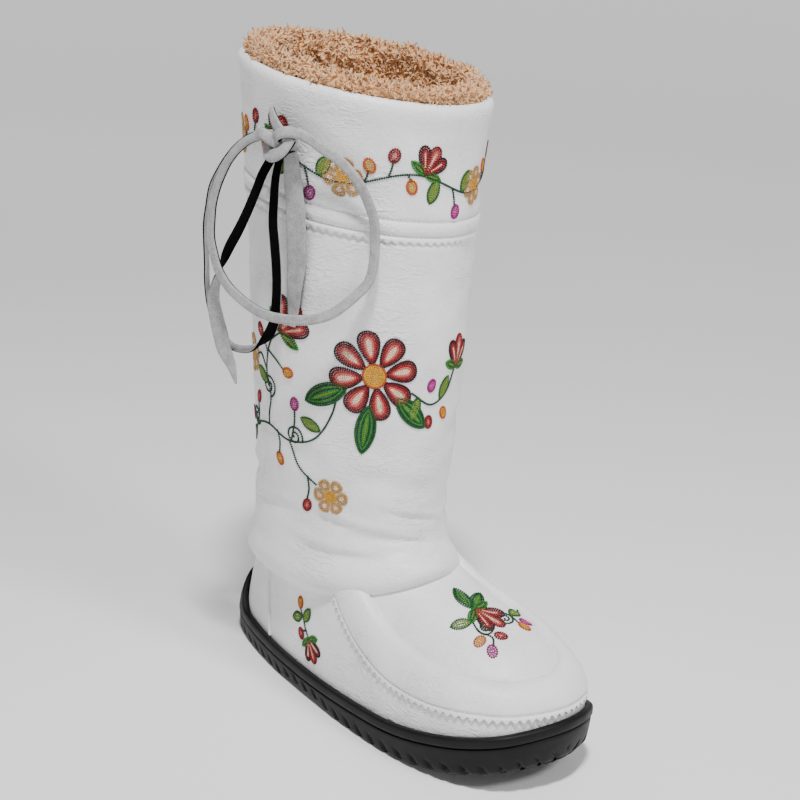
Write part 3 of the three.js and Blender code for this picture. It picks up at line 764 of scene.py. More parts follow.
@dataclass(frozen=True)
class Fleece:
    """Cream wool, golden at its roots."""

    tip: str = "tip"

    def build(self) -> Material:
        """Returns the material, which is paler where the mesh's tip value is near 1."""
        sheen = {"Sheen Weight": 0.5, "Sheen Roughness": 0.5, "Specular IOR Level": 0.2}
        paint = Paint("fleece", {"Roughness": 0.95, **sheen})
        tip = paint.node("ShaderNodeAttribute", {"attribute_name": self.tip}, {}, "Fac")
        tone = tip * 0.18 + paint.spots(60, 3) * 0.6 + paint.spots(420, 2) * 0.25 + 0.02
        stops = [
            (0.0, (0.4, 0.17, 0.05)),
            (0.4, (0.66, 0.34, 0.14)),
            (0.75, (0.78, 0.48, 0.24)),
            (1.0, (0.86, 0.6, 0.36)),
        ]
        paint.set("Base Color", paint.ramp(tone, stops))
        paint.bump(paint.spots(700, 3) * 0.6 + paint.spots(1900, 2) * 0.4, 0.5 * MM, 0.8)
        return paint.material


@dataclass(frozen=True)
class Suede:
    """Napped suede of one colour, whose sheen is also how much it mirrors."""

    name: str
    dark: Triple
    light: Triple
    sheen: float = 0.15

    def build(self) -> Material:
        """Returns the material."""
        constants = {"Roughness": 0.95, "Sheen Weight": self.sheen, "Specular IOR Level": self.sheen}
        paint = Paint(self.name, constants)
        nap = paint.spots(1500, 3) * 0.6 + paint.spots(240, 3) * 0.4
        paint.set("Base Color", paint.ramp(nap, [(0.34, self.dark), (0.64, self.light)]))
        paint.bump(nap, 0.3 * MM, 0.9)
        return paint.material


@dataclass(frozen=True)
class Thread:
    """White waxed thread, twisted."""

    def build(self) -> Material:
        """Returns the material."""
        paint = Paint("white_thread", {"Roughness": 0.6})
        plies = {"Vector": paint.place, "Scale": 900.0, "Distortion": 1.5}
        twist = paint.node("ShaderNodeTexWave", {}, plies, "Fac")
        paint.set("Base Color", paint.ramp(twist, [(0.0, (0.74, 0.74, 0.75)), (0.6, (0.9, 0.9, 0.9))]))
        paint.bump(twist, 0.1 * MM, 0.6)
        return paint.material


@dataclass(frozen=True)
class SeedBeads:
    """Glass seed beads, each of its own colour."""

    dye: str = "dye"

    def build(self) -> Material:
        """Returns the material."""
        paint = Paint("seed_beads", {"Roughness": 0.42, "Specular IOR Level": 0.3})
        colour = paint.node("ShaderNodeAttribute", {"attribute_name": self.dye}, {}, "Color")
        tone = paint.ramp(paint.spots(800, 1), [(0.3, (0.78, 0.78, 0.78)), (0.7, (1.0, 1.0, 1.0))])
        settings = {"data_type": "RGBA", "blend_type": "MULTIPLY"}
        paint.set("Base Color", paint.node("ShaderNodeMix", settings, {0: 1.0, 6: colour, 7: tone}, 2))
        paint.bump(paint.spots(1200, 2), 0.15 * MM, 0.3)
        return paint.material


# Geometry Nodes


class Grower:
    """A Geometry Nodes tree that is built step by step and then made a plain mesh."""

    def __init__(self, name: str, inputs: dict[str, tuple[str, object]]) -> None:
        """Starts a tree.

        Args:
            name: its name.
            inputs: the kind and value of each named input besides the geometry.
        """
        self.tree = bpy.data.node_groups.new(name, "GeometryNodeTree")
        self.values = {socket: value for socket, (_, value) in inputs.items()}
        face = self.tree.interface
        face.new_socket("Geometry", in_out="INPUT", socket_type="NodeSocketGeometry")
        for socket, (kind, _) in inputs.items():
            face.new_socket(socket, in_out="INPUT", socket_type=f"NodeSocket{kind}")
        face.new_socket("Geometry", in_out="OUTPUT", socket_type="NodeSocketGeometry")
        self.source = self.tree.nodes.new("NodeGroupInput")

    def given(self, name: str) -> Socket:
        """Returns one of the tree's own inputs."""
        return self.source.outputs[name]

    def node(self, kind: str, settings: dict, inputs: dict, output: str | int = 0) -> Socket:
        """Adds a node and returns the wanted output."""
        return add_node(self.tree, kind, settings, inputs).outputs[output]

    def combined(self, operation: str, first: object, second: object) -> Socket:
        """Returns the result of one Math node."""
        return self.node("ShaderNodeMath", {"operation": operation}, {0: first, 1: second})

    def stored(self, name: str, data_type: str) -> Socket:
        """Returns one of the points' own attributes."""
        return self.node("GeometryNodeInputNamedAttribute", {"data_type": data_type}, {"Name": name})

    def finish(self, instances: Socket) -> None:
        """Ends the tree in real faces with their material."""
        solid = self.node("GeometryNodeRealizeInstances", {}, {"Geometry": instances})
        shaded = self.node("GeometryNodeSetShadeSmooth", {}, {"Geometry": solid, "Shade Smooth": True})
        finish = {"Geometry": shaded, "Material": self.given("Material")}
        dressed = self.node("GeometryNodeSetMaterial", {}, finish)
        end = self.tree.nodes.new("NodeGroupOutput")
        self.tree.links.new(dressed, end.inputs["Geometry"])

    def grow(self, thing: Thing) -> None:
        """Runs the tree on an object and leaves it a plain mesh."""
        growth = thing.modifiers.new(self.tree.name, "NODES")
        growth.node_group = self.tree
        for socket in self.tree.interface.items_tree:
            if socket.in_out == "INPUT" and socket.name in self.values:
                growth[socket.identifier] = self.values[socket.name]
        bpy.context.view_layer.update()
        evaluated = thing.evaluated_get(bpy.context.evaluated_depsgraph_get())
        mesh = bpy.data.meshes.new_from_object(evaluated)
        thing.modifiers.clear()
        thing.data = mesh


def copies(name: str, size: Triple, finish: Material) -> Grower:
    """Builds a tree that puts a rounded grain on each point, turned by its attributes.

    Args:
        name: the tree's name.
        size: the grain's length, width and height.
        finish: its material.

    Returns:
        The tree, which reads the points' ahead and facing.
    """
    grower = Grower(name, {"Size": ("Vector", size), "Material": ("Material", finish)})
    grain = grower.node("GeometryNodeMeshIcoSphere", {}, {"Radius": 0.5, "Subdivisions": 1})
    shaped = grower.node("GeometryNodeTransform", {}, {"Geometry": grain, "Scale": grower.given("Size")})
    ways = {0: grower.stored("facing", "FLOAT_VECTOR"), 1: grower.stored("ahead", "FLOAT_VECTOR")}
    turn = grower.node("FunctionNodeAxesToRotation", {"primary_axis": "Z", "secondary_axis": "X"}, ways)
    spread = {"Points": grower.given("Geometry"), "Instance": shaped, "Rotation": turn}
    placed = grower.node("GeometryNodeInstanceOnPoints", {}, spread)
    grower.finish(placed)
    return grower


def locks(density: float, length: float, width: float, finish: Material, seed: int) -> Grower:
    """Builds a tree that covers a skin with curved locks of wool.

    Args:
        density: how many locks a square metre gets.
        length: how long a lock is.
        width: how wide a lock is at its root.
        finish: the material, which reads how far up the lock a point is.
        seed: what the random draws start from.

    Returns:
        The tree.
    """
    inputs = {
        "Density": ("Float", density),
        "Length": ("Float", length),
        "Width": ("Float", width),
        "Tip Width": ("Float", 0.45 * MM),
        "Bend": ("Float", 2.4 * MM),
        "Seed": ("Int", seed),
        "Material": ("Material", finish),
    }
    grower = Grower("wool_locks", inputs)
    dense = grower.combined("MULTIPLY", grower.stored("pile", "FLOAT"), grower.given("Density"))
    spread = {"Mesh": grower.given("Geometry"), "Density": dense, "Seed": grower.given("Seed")}
    points = grower.node("GeometryNodeDistributePointsOnFaces", {}, spread, "Points")
    form = {
        "Vertices": 3,
        "Side Segments": 2,
        "Radius Top": grower.given("Tip Width"),
        "Radius Bottom": grower.given("Width"),
        "Depth": grower.given("Length"),
    }
    cone = grower.node("GeometryNodeMeshCone", {"fill_type": "NONE"}, form)
    place = grower.node("GeometryNodeInputPosition", {}, {})
    height = grower.node("ShaderNodeSeparateXYZ", {}, {"Vector": place}, "Z")
    tip = grower.combined("DIVIDE", height, grower.given("Length"))
    of_points = {"data_type": "FLOAT", "domain": "POINT"}
    mark = {"Geometry": cone, "Name": "tip", "Value": tip}
    marked = grower.node("GeometryNodeStoreNamedAttribute", of_points, mark)
    sideways = grower.combined("MULTIPLY", grower.combined("MULTIPLY", tip, tip), grower.given("Bend"))
    offset = grower.node("ShaderNodeCombineXYZ", {}, {"X": sideways})
    bent = grower.node("GeometryNodeSetPosition", {}, {"Geometry": marked, "Offset": offset})
    vectors = {"data_type": "FLOAT_VECTOR"}
    astray = {"Min": (-1.0, -1.0, -0.5), "Max": (1.0, 1.0, 0.9), "Seed": grower.given("Seed")}
    drift = grower.node("FunctionNodeRandomValue", vectors, astray)
    normal = points.node.outputs["Normal"]
    lean = grower.node("ShaderNodeVectorMath", {"operation": "ADD"}, {0: normal, 1: drift})
    turn = grower.node("FunctionNodeAlignRotationToVector", {"axis": "Z"}, {"Vector": lean})
    whole_turn = {"Min": (0, 0, -math.pi), "Max": (0, 0, math.pi), "Seed": 3}
    spin = grower.node("FunctionNodeRandomValue", vectors, whole_turn)
    spun = grower.node("FunctionNodeRotateRotation", {"rotation_space": "LOCAL"}, {0: turn, 1: spin})
    sizes = {2: 0.65, 3: 1.25, "Seed": 5}
    size = grower.node("FunctionNodeRandomValue", {"data_type": "FLOAT"}, sizes, 1)
    copied = {"Points": points, "Instance": bent, "Rotation": spun, "Scale": size}
    grower.finish(grower.node("GeometryNodeInstanceOnPoints", {}, copied))
    return grower


def marked_points(name: str, places: Array, ahead: Array, facing: Array, dyes: Array | None = None) -> Mesh:
    """Makes a mesh of points that a tree puts copies on.

    Args:
        name: the mesh's name.
        places: where the points are.
        ahead: the direction of each copy's length.
        facing: the direction that each copy faces.
        dyes: each copy's colour, or None.

    Returns:
        The mesh.
    """
    mesh = bpy.data.meshes.new(name)
    mesh.from_pydata(places.tolist(), [], [])
    for name_of, values in (("ahead", ahead), ("facing", facing)):
        directions = mesh.attributes.new(name_of, "FLOAT_VECTOR", "POINT")
        directions.data.foreach_set("vector", values.ravel())
    if dyes is not None:
        mesh.attributes.new("dye", "FLOAT_COLOR", "POINT").data.foreach_set("color", dyes.ravel())
    return mesh


def seam_stitches(
    name: str, line: Array, facing: Array, pitch: float, finish: Material, closed: bool
) -> None:
    """Sews a row of stitches along a line.

    Args:
        name: the piece's name.
        line: the row's points.
        facing: the directions that the leather faces at them.
        pitch: from one stitch to the next.
        finish: the thread's material.
        closed: whether the row ends where it starts.
    """
    both = np.hstack([line, facing])
    if closed:
        both = np.vstack([both, both[:1]])
    along = lengths_along(both[:, :3])
    count = int(along[-1] / pitch)
    at = (np.arange(count) + 0.5) * along[-1] / count
    row = at_lengths(both, along, at)
    ahead = unit(np.gradient(row[:, :3], axis=0))
    points = marked_points(name, row[:, :3], ahead, unit(row[:, 3:]))
    size = (0.78 * pitch, 0.9 * MM, 0.75 * MM)
    copies(name, size, finish).grow(piece(name, points, [finish]))


# The boot's sub-assemblies


@dataclass
class Sole:
    """The moulded cup sole and the wool footbed in it."""

    last: Last
    rubber: Material
    fleece: Material
    steps: int = 330
    notch_pitch: float = 11 * MM
    notch_width: float = 1.5 * MM
    notch_depth: float = 1.9 * MM
    notch_height: float = 9.5 * MM
    notch_slant: float = 0.62
    notch_bend: float = 22.0
    groove_depth: float = 1.1 * MM
    bar_pitch: float = 15 * MM
    bar_gap: float = 4 * MM
    bar_depth: float = 4 * MM
    margin: float = 13 * MM
    footbed_gap: float = 1.3 * MM
    footbed_depth: float = 7.2 * MM

    def profile(self) -> list[tuple[float, Callable[[Array], Array], float]]:
        """Returns the rings of the sole's side: inset, height from x, and how far up the cup."""
        last, sizes = self.last, self.last.sizes
        lip, inset = sizes.lip_height, sizes.side_inset

        def side(share: float, drop: float) -> Callable[[Array], Array]:
            """Returns heights a share of the way from the underside to below the lip."""
            return lambda x: mix(last.underside(x), last.lip_top(x) - lip - drop, share)

        def cup(share: float, drop: float) -> Callable[[Array], Array]:
            """Returns heights a share of the way from the lip's foot to the rim."""
            return lambda x: mix(last.lip_top(x) - lip, last.rim_top(x) - drop, share)

        rings = [(4.0 * MM, side(0, 0), 0), (3.0 * MM, side(0.03, 0), 0), (2.2 * MM, side(0.09, 0), 0)]
        for share in np.linspace(0.06, 1, 11):
            rings.append((mix(2.0 * MM, inset, share**0.6), side(0.1 + 0.8 * share, 1.6 * MM), 0))
        rings += [
            (inset, side(1, 1.5 * MM), 0),
            (inset + 0.25 * MM, side(1, 1.2 * MM), 0),
            (inset + self.groove_depth, side(1, 1.0 * MM), 0),
            (inset + self.groove_depth, side(1, 0.25 * MM), 0),
            (0.35 * MM, side(1, 0.0), 0),
            (0.0, cup(0.12, 1.4 * MM), 0.1),
            (0.0, cup(0.5, 1.4 * MM), 0.5),
            (0.1 * MM, cup(0.85, 1.2 * MM), 0.87),
            (0.35 * MM, cup(1, 0.75 * MM), 1),
            (0.9 * MM, cup(1, 0.2 * MM), 1),
            (1.5 * MM, cup(1, 0), 1),
            (3.4 * MM, cup(1, 0.05 * MM), 1),
            (4.2 * MM, cup(1, 0.35 * MM), 1),
            (sizes.rim_wall, cup(1, 1.2 * MM), 1),
            (sizes.rim_wall, cup(0.5, 0.8 * MM), 0.5),
            (sizes.rim_wall, lambda x: last.underside(x) + sizes.floor_thickness, 0),
        ]
        return rings

    def notches(self, ring: Array, grid: Array) -> Array:
        """Cuts the slanted notches into the sole's side.

        Args:
            ring: the edge, in plan.
            grid: the side's points, a column for each point of the edge.

        Returns:
            How deep the cut is at each point of the side.
        """
        loop = np.vstack([ring, ring[:1]])
        along = lengths_along(loop)
        count = round(along[-1] / self.notch_pitch)
        pitch = along[-1] / count
        height = grid[..., 2] - self.last.underside(grid[..., 0])
        way = np.where(np.arange(len(ring)) < self.steps, 1.0, -1.0)
        lean = way * (self.notch_slant * height + self.notch_bend * height**2)
        off = (along[:-1] + lean + pitch / 2) % pitch - pitch / 2
        taper = 1 - ease(0.35, 1.0, np.clip(height / self.notch_height, 0, 1))
        width = self.notch_width * (0.45 + 0.55 * taper)
        return self.notch_depth * np.exp(-((off / width) ** 4)) * taper

    def tread(self, points: Array) -> Array:
        """Works out the underside, with gaps between its bars.

        Args:
            points: places on it.

        Returns:
            Their heights.
        """
        x = points[..., 0]
        start = -self.last.sizes.sole_length / 2 + self.margin
        phase = (x - start) % self.bar_pitch - self.bar_pitch / 2
        ring, _ = self.last.edge(self.steps)
        away = np.min(np.linalg.norm(points[..., None, :2] - ring[None, None, ::6], axis=-1), axis=-1)
        share = self.last.share(x)
        inner = (away > self.margin) & ((share < self.last.arch_from) | (share > self.last.arch_to))
        gap = (np.abs(phase) < self.bar_gap / 2) & inner
        return self.last.underside(x) + np.where(gap, self.bar_depth, 0)

    def build(self) -> None:
        """Makes the outsole and the footbed."""
        last, sizes = self.last, self.last.sizes
        ring, outward = last.edge(self.steps)
        rows = []
        for inset, height, up in self.profile():
            depth = inset + sizes.cup_lean * (last.cup(ring[:, 0]) * up) ** 2
            plan = ring - outward * np.asarray(depth)[:, None]
            rows.append(np.column_stack([plan, height(ring[:, 0])]))
        grid = np.stack(rows)
        cut = self.notches(ring, grid)
        grid[..., :2] -= outward * cut[..., None]
        mould = Mould()
        mould.add(grid, closed=True)
        mould.add(across(grid[-1], 9))
        mould.add(across(grid[0], 26, self.tread)[::-1])
        piece("cup_sole", mould.mesh("cup_sole", 42), [self.rubber], ["outsole"])
        self.build_footbed(ring, outward)

    def build_footbed(self, ring: Array, outward: Array) -> None:
        """Makes the wool footbed that lies on the sole's floor.

        Args:
            ring: the sole's edge, in plan.
            outward: the edge's outward directions.
        """
        last, sizes = self.last, self.last.sizes
        ring, outward = ring[::5], outward[::5]
        inset = sizes.rim_wall + sizes.clearance + sizes.leather + self.footbed_gap
        rows = []
        for extra, up in ((0.2, 0.4), (0, 2.0), (0, 4.5), (0.6, 6.2), (2.2, 7.2), (5, 7.5)):
            plan = ring - outward * (inset + extra * MM)
            height = last.underside(ring[:, 0]) + sizes.floor_thickness + up * MM
            rows.append(np.column_stack([plan, height]))
        grid = np.stack(rows)

        def lumps(points: Array) -> Array:
            """Returns the footbed's lumpy height."""
            x, y = points[..., 0], points[..., 1]
            wave = np.sin(x * 210) * np.cos(y * 260) + np.sin(x * 470 + y * 390)
            return last.underside(x) + sizes.floor_thickness + self.footbed_depth + 0.5 * MM * wave

        mould = Mould()
        mould.add(grid, closed=True)
        mould.add(across(grid[-1], 24, lumps))
        mould.add(across(grid[0], 3)[::-1])
        piece("wool_footbed", mould.mesh("wool_footbed"), [self.fleece], ["insole"])


@dataclass
class Foot:
    """The leather of the foot: quarters, vamp with its raised shoulder, and counter seams."""

    last: Last
    leather: Material
    fleece: Material
    thread: Material
    # The vamp's rim material is a darker grey: partly the raw cut edge's own tone, partly painted shade
    # under the pinked edge.
    cut_edge_painted_shade: Material
    steps: int = 230
    vamp_steps: int = 490
    vamp_wall: float = 1.6 * MM
    vamp_stand: float = 1.6 * MM
    sunk: float = 1.1 * MM
    pinking_pitch: float = 4.7 * MM
    pinking_depth: float = 2.2 * MM
    deepest_tooth: float = 2.8 * MM
    tooth_fade: float = 3.0 * MM
    stitch_inset: float = 3.9 * MM
    stitch_pitch: float = 2.2 * MM
    stitch_dip: float = 1.0 * MM
    stitch_dip_reach: float = 0.8 * MM
    swell_rise: float = 0.8 * MM
    swell_reach: float = 2.6 * MM
    swell_fall: float = 0.5 * MM
    dimple: float = 0.28 * MM
    vamp_from: float = 0.425
    quarter_wall: float = 2.2 * MM
    hidden: float = 7 * MM
    tuck_depth: float = 4 * MM
    overlap: float = 9 * MM
    overlap_from: float = 0.48
    piping_foot: float = 0.24
    piping_head: float = 0.172
    piping_top: float = 0.62
    piping_half: float = 1.3 * MM
    piping_stand: float = 1.7 * MM

    def build(self) -> None:
        """Makes the pieces."""
        self.quarters = self.build_quarters()
        self.vamp = self.build_vamp()
        self.build_counter_seam("counter_piping_lateral", -1, "heel_seam_lateral")
        self.build_counter_seam("counter_piping_medial", 1, "heel_seam_medial")

    def build_quarters(self) -> Thing:
        """Makes the leather between the sole's rim and the vamp's edge, and round the heel."""
        last = self.last
        low = np.array([0.0, 0.0008, 0.003, 0.008, 0.016, 0.028, 0.045])
        girths = np.concatenate([low, np.linspace(0.065, 1, 34), np.linspace(1.02, 1.97, 16)])
        grid = last.foot(girths, self.steps)
        above = grid[..., 2] - last.vamp_height(grid[..., 0])
        vamped = ease(0.45, 0.47, last.share(grid[..., 0]))
        grid = grown(grid, -self.sunk * ease(1.8 * MM, 3.4 * MM, above) * vamped)
        grid += normals_of(grid) * (self.dimples(grid) * ease(0, 0.1, girths)[:, None])[..., None]
        above = grid[..., 2] - last.vamp_height(grid[..., 0])
        covered = (above > self.overlap) & (last.share(grid[..., 0]) > self.overlap_from)
        keep = ~last.inside_shaft(grid, self.hidden) & ~covered
        tuck = grid[0].copy()
        tuck[:, 2] -= self.tuck_depth
        mould = Mould()
        mould.add(np.vstack([tuck[None], grid]), closed=True, keep=np.vstack([keep[:1], keep]))
        mesh = mould.mesh("foot_leather")
        thing = piece("foot_leather", mesh, [self.leather, self.fleece], ["upper"])
        thicken(thing, self.quarter_wall, inner=1)
        return thing

    def dimples(self, grid: Array) -> Array:
        """Returns the soft hollows and swells of hand-lasted leather at each point."""
        x, y, z = (grid[..., k] for k in range(3))
        return self.dimple * (np.sin(x * 120 + z * 90) * np.cos(y * 130) + 0.6 * np.sin(z * 260 + x * 170))

    def vamp_skin(self) -> Array:
        """Returns the foot's skin from the vamp's start on one side, round the toe, to the other."""
        girths = np.concatenate([np.linspace(0.0, 1, 110) ** 1.5, np.linspace(1.004, 1.94, 60)])
        skin = self.last.foot(girths, self.vamp_steps)
        start = int(np.argmax(self.last.share(skin[0, : self.vamp_steps, 0]) > self.vamp_from))
        return skin[:, start : 2 * self.vamp_steps - start + 1]

    def find_edge(self, skin: Array) -> tuple[Array, Array]:
        """Finds the vamp's edge on the foot's skin.

        Args:
            skin: its points, in columns that go up.

        Returns:
            Each point's distance up its column, and how far up each column the edge is.
        """
        along = np.stack([lengths_along(column) for column in np.moveaxis(skin, 1, 0)], axis=1)
        above = skin[..., 2] - self.last.vamp_height(skin[..., 0])
        column = np.arange(skin.shape[1])
        row = np.maximum(np.argmax(above > 0, axis=0), 1)
        climb = above[row, column] - above[row - 1, column]
        share = np.clip(-above[row - 1, column] / (climb + 1e-12), 0, 1)
        return along, mix(along[row - 1, column], along[row, column], share)

    def cut_teeth(self, edge_line: Array) -> Array:
        """Works out the pinking, which is cut deeper where the edge climbs.

        Args:
            edge_line: the edge's points.

        Returns:
            How far up its column each point of the edge is cut.
        """
        along = lengths_along(edge_line)
        climb = np.gradient(edge_line[:, 2]) / np.gradient(along)
        cut = pinking(along, self.pinking_pitch, self.pinking_depth)
        return np.minimum(cut / np.sqrt(np.clip(1 - climb**2, 0.3, 1)), self.deepest_tooth)

    def build_vamp(self) -> Thing:
        """Makes the vamp, pinked along its edge and swelling behind its stitches."""
        skin = self.vamp_skin()
        along, edge = self.find_edge(skin)
        columns = range(len(edge))
        tooth = self.cut_teeth(np.stack([at_lengths(skin[:, k], along[:, k], edge[k]) for k in columns]))
        away = np.concatenate([np.arange(0, 6.6, 0.55), np.arange(7.2, 14, 1.2)]) * MM
        rest = np.linspace(0, 1, 46)[1:]
        grid, out = [], []
        for k in columns:
            near = away + tooth[k] * np.clip(1 - away / self.tooth_fade, 0, 1)
            left = along[-1, k] - edge[k]
            places = np.concatenate([near, mix(away[-1], left, rest)])
            grid.append(at_lengths(skin[:, k], along[:, k], edge[k] + places))
            out.append(self.swell(places))
        grid, out = np.stack(grid, axis=1), np.stack(out, axis=1)
        level = ease(0.78, 0.95, np.linspace(0, 1, len(grid)))[:, None, None]
        facing = unit(mix(normals_of(grid, False), np.array([0.0, 0.0, 1.0]), level))
        self.vamp_rows = grid + facing * (out + 0.7 * self.dimples(grid))[..., None]
        mould = Mould()
        mould.add(self.vamp_rows, keep=~self.last.inside_shaft(self.vamp_rows, self.hidden))
        top = self.vamp_rows[-1]
        half = len(top) // 2 + 1
        bridge = np.stack([mix(top[:half], top[::-1][:half], share) for share in (0, 0.5, 1)])
        mould.add(bridge, keep=~self.last.inside_shaft(bridge, self.hidden))
        mesh = mould.mesh("vamp_leather")
        # The rim faces get the darker grey: painted shade that traces the teeth, partly the raw edge's own
        # tone.
        thing = piece("vamp_leather", mesh, [self.leather, self.cut_edge_painted_shade], ["vamp"])
        thicken(thing, self.vamp_wall, rim=1)
        self.sew_vamp(away)
        return thing

    def swell(self, away: Array) -> Array:
        """Works out how far the vamp stands out of the foot.

        Args:
            away: distances from its edge.

        Returns:
            How far it stands out at each, with a dip along the stitches and a swell behind them.
        """
        past = away - self.stitch_inset
        dip = self.stitch_dip * np.exp(-((past / self.stitch_dip_reach) ** 2))
        rise = self.swell_rise * (1 - np.exp(-np.maximum(past, 0) / self.swell_reach))
        return self.vamp_stand - dip + rise - self.swell_fall * ease(6 * MM, 30 * MM, away)

    def sew_vamp(self, away: Array) -> None:
        """Sews the row of stitches just inside the vamp's edge.

        Args:
            away: how far from the edge each of the vamp's rows is.
        """
        row = int(np.argmin(np.abs(away - self.stitch_inset)))
        facing = normals_of(self.vamp_rows, False)[row]
        line = self.vamp_rows[row] + facing * 0.25 * MM
        shown = ~self.last.inside_shaft(line, 0)
        seam_stitches("vamp_stitches", line[shown], facing[shown], self.stitch_pitch, self.thread, False)

    def build_counter_seam(self, name: str, side: int, node: str) -> None:
        """Makes the raised piping between a quarter and the heel's counter.

        Args:
            name: the piece's name.
            side: -1 for the lateral side, 1 for the medial one.
            node: the solid that it stands for.
        """
        foot_x, head_x = self.last.x(self.piping_foot), self.last.x(self.piping_head)
        foot_z = self.last.rim_top(np.array([foot_x]))[0] + 0.4 * MM
        head_z = self.piping_top * self.last.sizes.instep
        skin = BVHTree.FromObject(self.quarters, bpy.context.evaluated_depsgraph_get())
        line, facing = [], []
        for share in np.linspace(0, 1, 34):
            origin = Vector((mix(foot_x, head_x, share), side * 0.1, mix(foot_z, head_z, share)))
            hit, normal, _, _ = skin.ray_cast(origin, Vector((0, -side, 0)))
            if hit is not None:
                line.append(hit)
                facing.append(normal)
        line, facing = np.array(line), np.array(facing)
        over = unit(np.cross(unit(np.gradient(line, axis=0)), facing))
        tuck = 0.15
        rows = []
        for angle in np.linspace(-tuck, math.pi + tuck, 12):
            lift = math.sin(angle) if angle > 0 else -0.2
            bulge = over * (self.piping_half * math.cos(angle)) + facing * (self.piping_stand * lift)
            rows.append(line + bulge)
        mould = Mould()
        mould.add(np.stack(rows))
        piece(name, turned_out(mould.mesh(name)), [self.leather], [node])


@dataclass
class Shaft:
    """The soft leather shaft with its fold over the instep."""

    last: Last
    leather: Material
    fleece: Material
    columns: int = 244
    lip_height: float = 80 * MM
    lip_reach: float = 7 * MM
    lip_stand: float = 1.5 * MM
    crease_depth: float = 1.7 * MM
    ridge_share: float = 0.7
    ridge_off: float = 1.7
    swell: float = 0.75 * MM
    ripple: float = 0.25 * MM
    calm_from: float = 0.7
    calm_to: float = 0.8

    def relief(self, around: Array, height: Array) -> Array:
        """Works out the creases and the soft unevenness of the leather.

        Args:
            around: places round the shaft, in degrees.
            height: heights above the floor along the shaft's middle.

        Returns:
            How far out of the plain shaft each place is.
        """
        arc = ARC_PER_DEGREE
        total = np.zeros(np.broadcast(around, height).shape)
        for from_around, from_up, to_around, to_up, width, depth in CREASES:
            reach = np.array([(to_around - from_around) * arc, (to_up - from_up) * MM])
            length = float(np.hypot(*reach))
            turn = (around - from_around + 180) % 360 - 180
            u, v = turn * arc, height - from_up * MM
            along = (u * reach[0] + v * reach[1]) / length**2
            off = (v * reach[0] - u * reach[1]) / length
            fade = ease(-0.15, 0.3, along) * (1 - ease(0.7, 1.15, along))
            size = width * MM
            ridge = self.ridge_share * np.exp(-((off / size - self.ridge_off) ** 2))
            total = total + depth * self.crease_depth * fade * (ridge - np.exp(-((off / size) ** 2)))
        wave = np.sin(np.radians(around) * 3 + height * 40) * np.sin(height * 62 + 1.0)
        small = np.sin(np.radians(around) * 7 - height * 120) * np.sin(height * 150)
        lip = self.lip_stand * np.exp(-(((height - self.lip_height) / self.lip_reach) ** 2))
        return total + self.swell * wave + self.ripple * small + lip

    def skin(self, around: Array, up: Array, out: Array = 0.0) -> Array:
        """Works out places on the shaft's leather, its creases included.

        Args:
            around: places round the shaft, in degrees.
            up: heights as shares of the boot's height.
            out: how far out from the leather's outside.

        Returns:
            The points.
        """
        height = up * self.last.sizes.height
        calm = 1 - 0.75 * ease(self.calm_from, self.calm_to, up)
        return self.last.shaft(around, up, out + self.relief(around, height) * calm)

    def build(self) -> None:
        """Makes the shaft."""
        fold = np.concatenate([np.linspace(0.17, 0.19, 14)[:-1], np.linspace(0.19, 0.26, 26)])
        up = np.concatenate([fold, np.linspace(0.264, 0.97, 96)])[:, None]
        stand = np.where(up >= self.last.sizes.cuff_from, self.last.sizes.cuff_stand, 0.0)
        mould = Mould()
        mould.add(self.skin(all_round(self.columns), up, -stand), closed=True)
        mesh = mould.mesh("shaft_leather")
        thing = piece("shaft_leather", mesh, [self.leather, self.fleece], ["upper"])
        thicken(thing, self.last.sizes.leather - 0.2 * MM, inner=1)


# The cuff's section, in millimetres: up from its edge, from its middle or from the shaft's rim,
# and out from the shaft.
CUFF_HEM = (
    (0, 0.4), (0, 1.6), (0.15, 2.3), (1.0, 2.75), (2.6, 2.85), (4.1, 2.4), (5.0, 1.45), (5.9, 2.3),
    (7.4, 3.05), (9.5, 3.3), (11.6, 3.05), (13.1, 2.3), (14.0, 1.45), (14.9, 2.05), (17.0, 2.45), (24, 2.1),
)
CUFF_MIDDLE = ((0, 1.9),)
CUFF_RIM = (
    (-30, 1.9), (-20, 1.95), (-12, 2.25), (-7, 2.85), (-2.6, 3.15), (0.6, 2.45), (2.3, 0.6), (2.5, -1.4),
    (1.6, -3.2), (-1.0, -4.2), (-6.0, -4.3),
)
CUFF_OUTSIDE = slice(1, 22)  # the corners that face out, in the three tables together


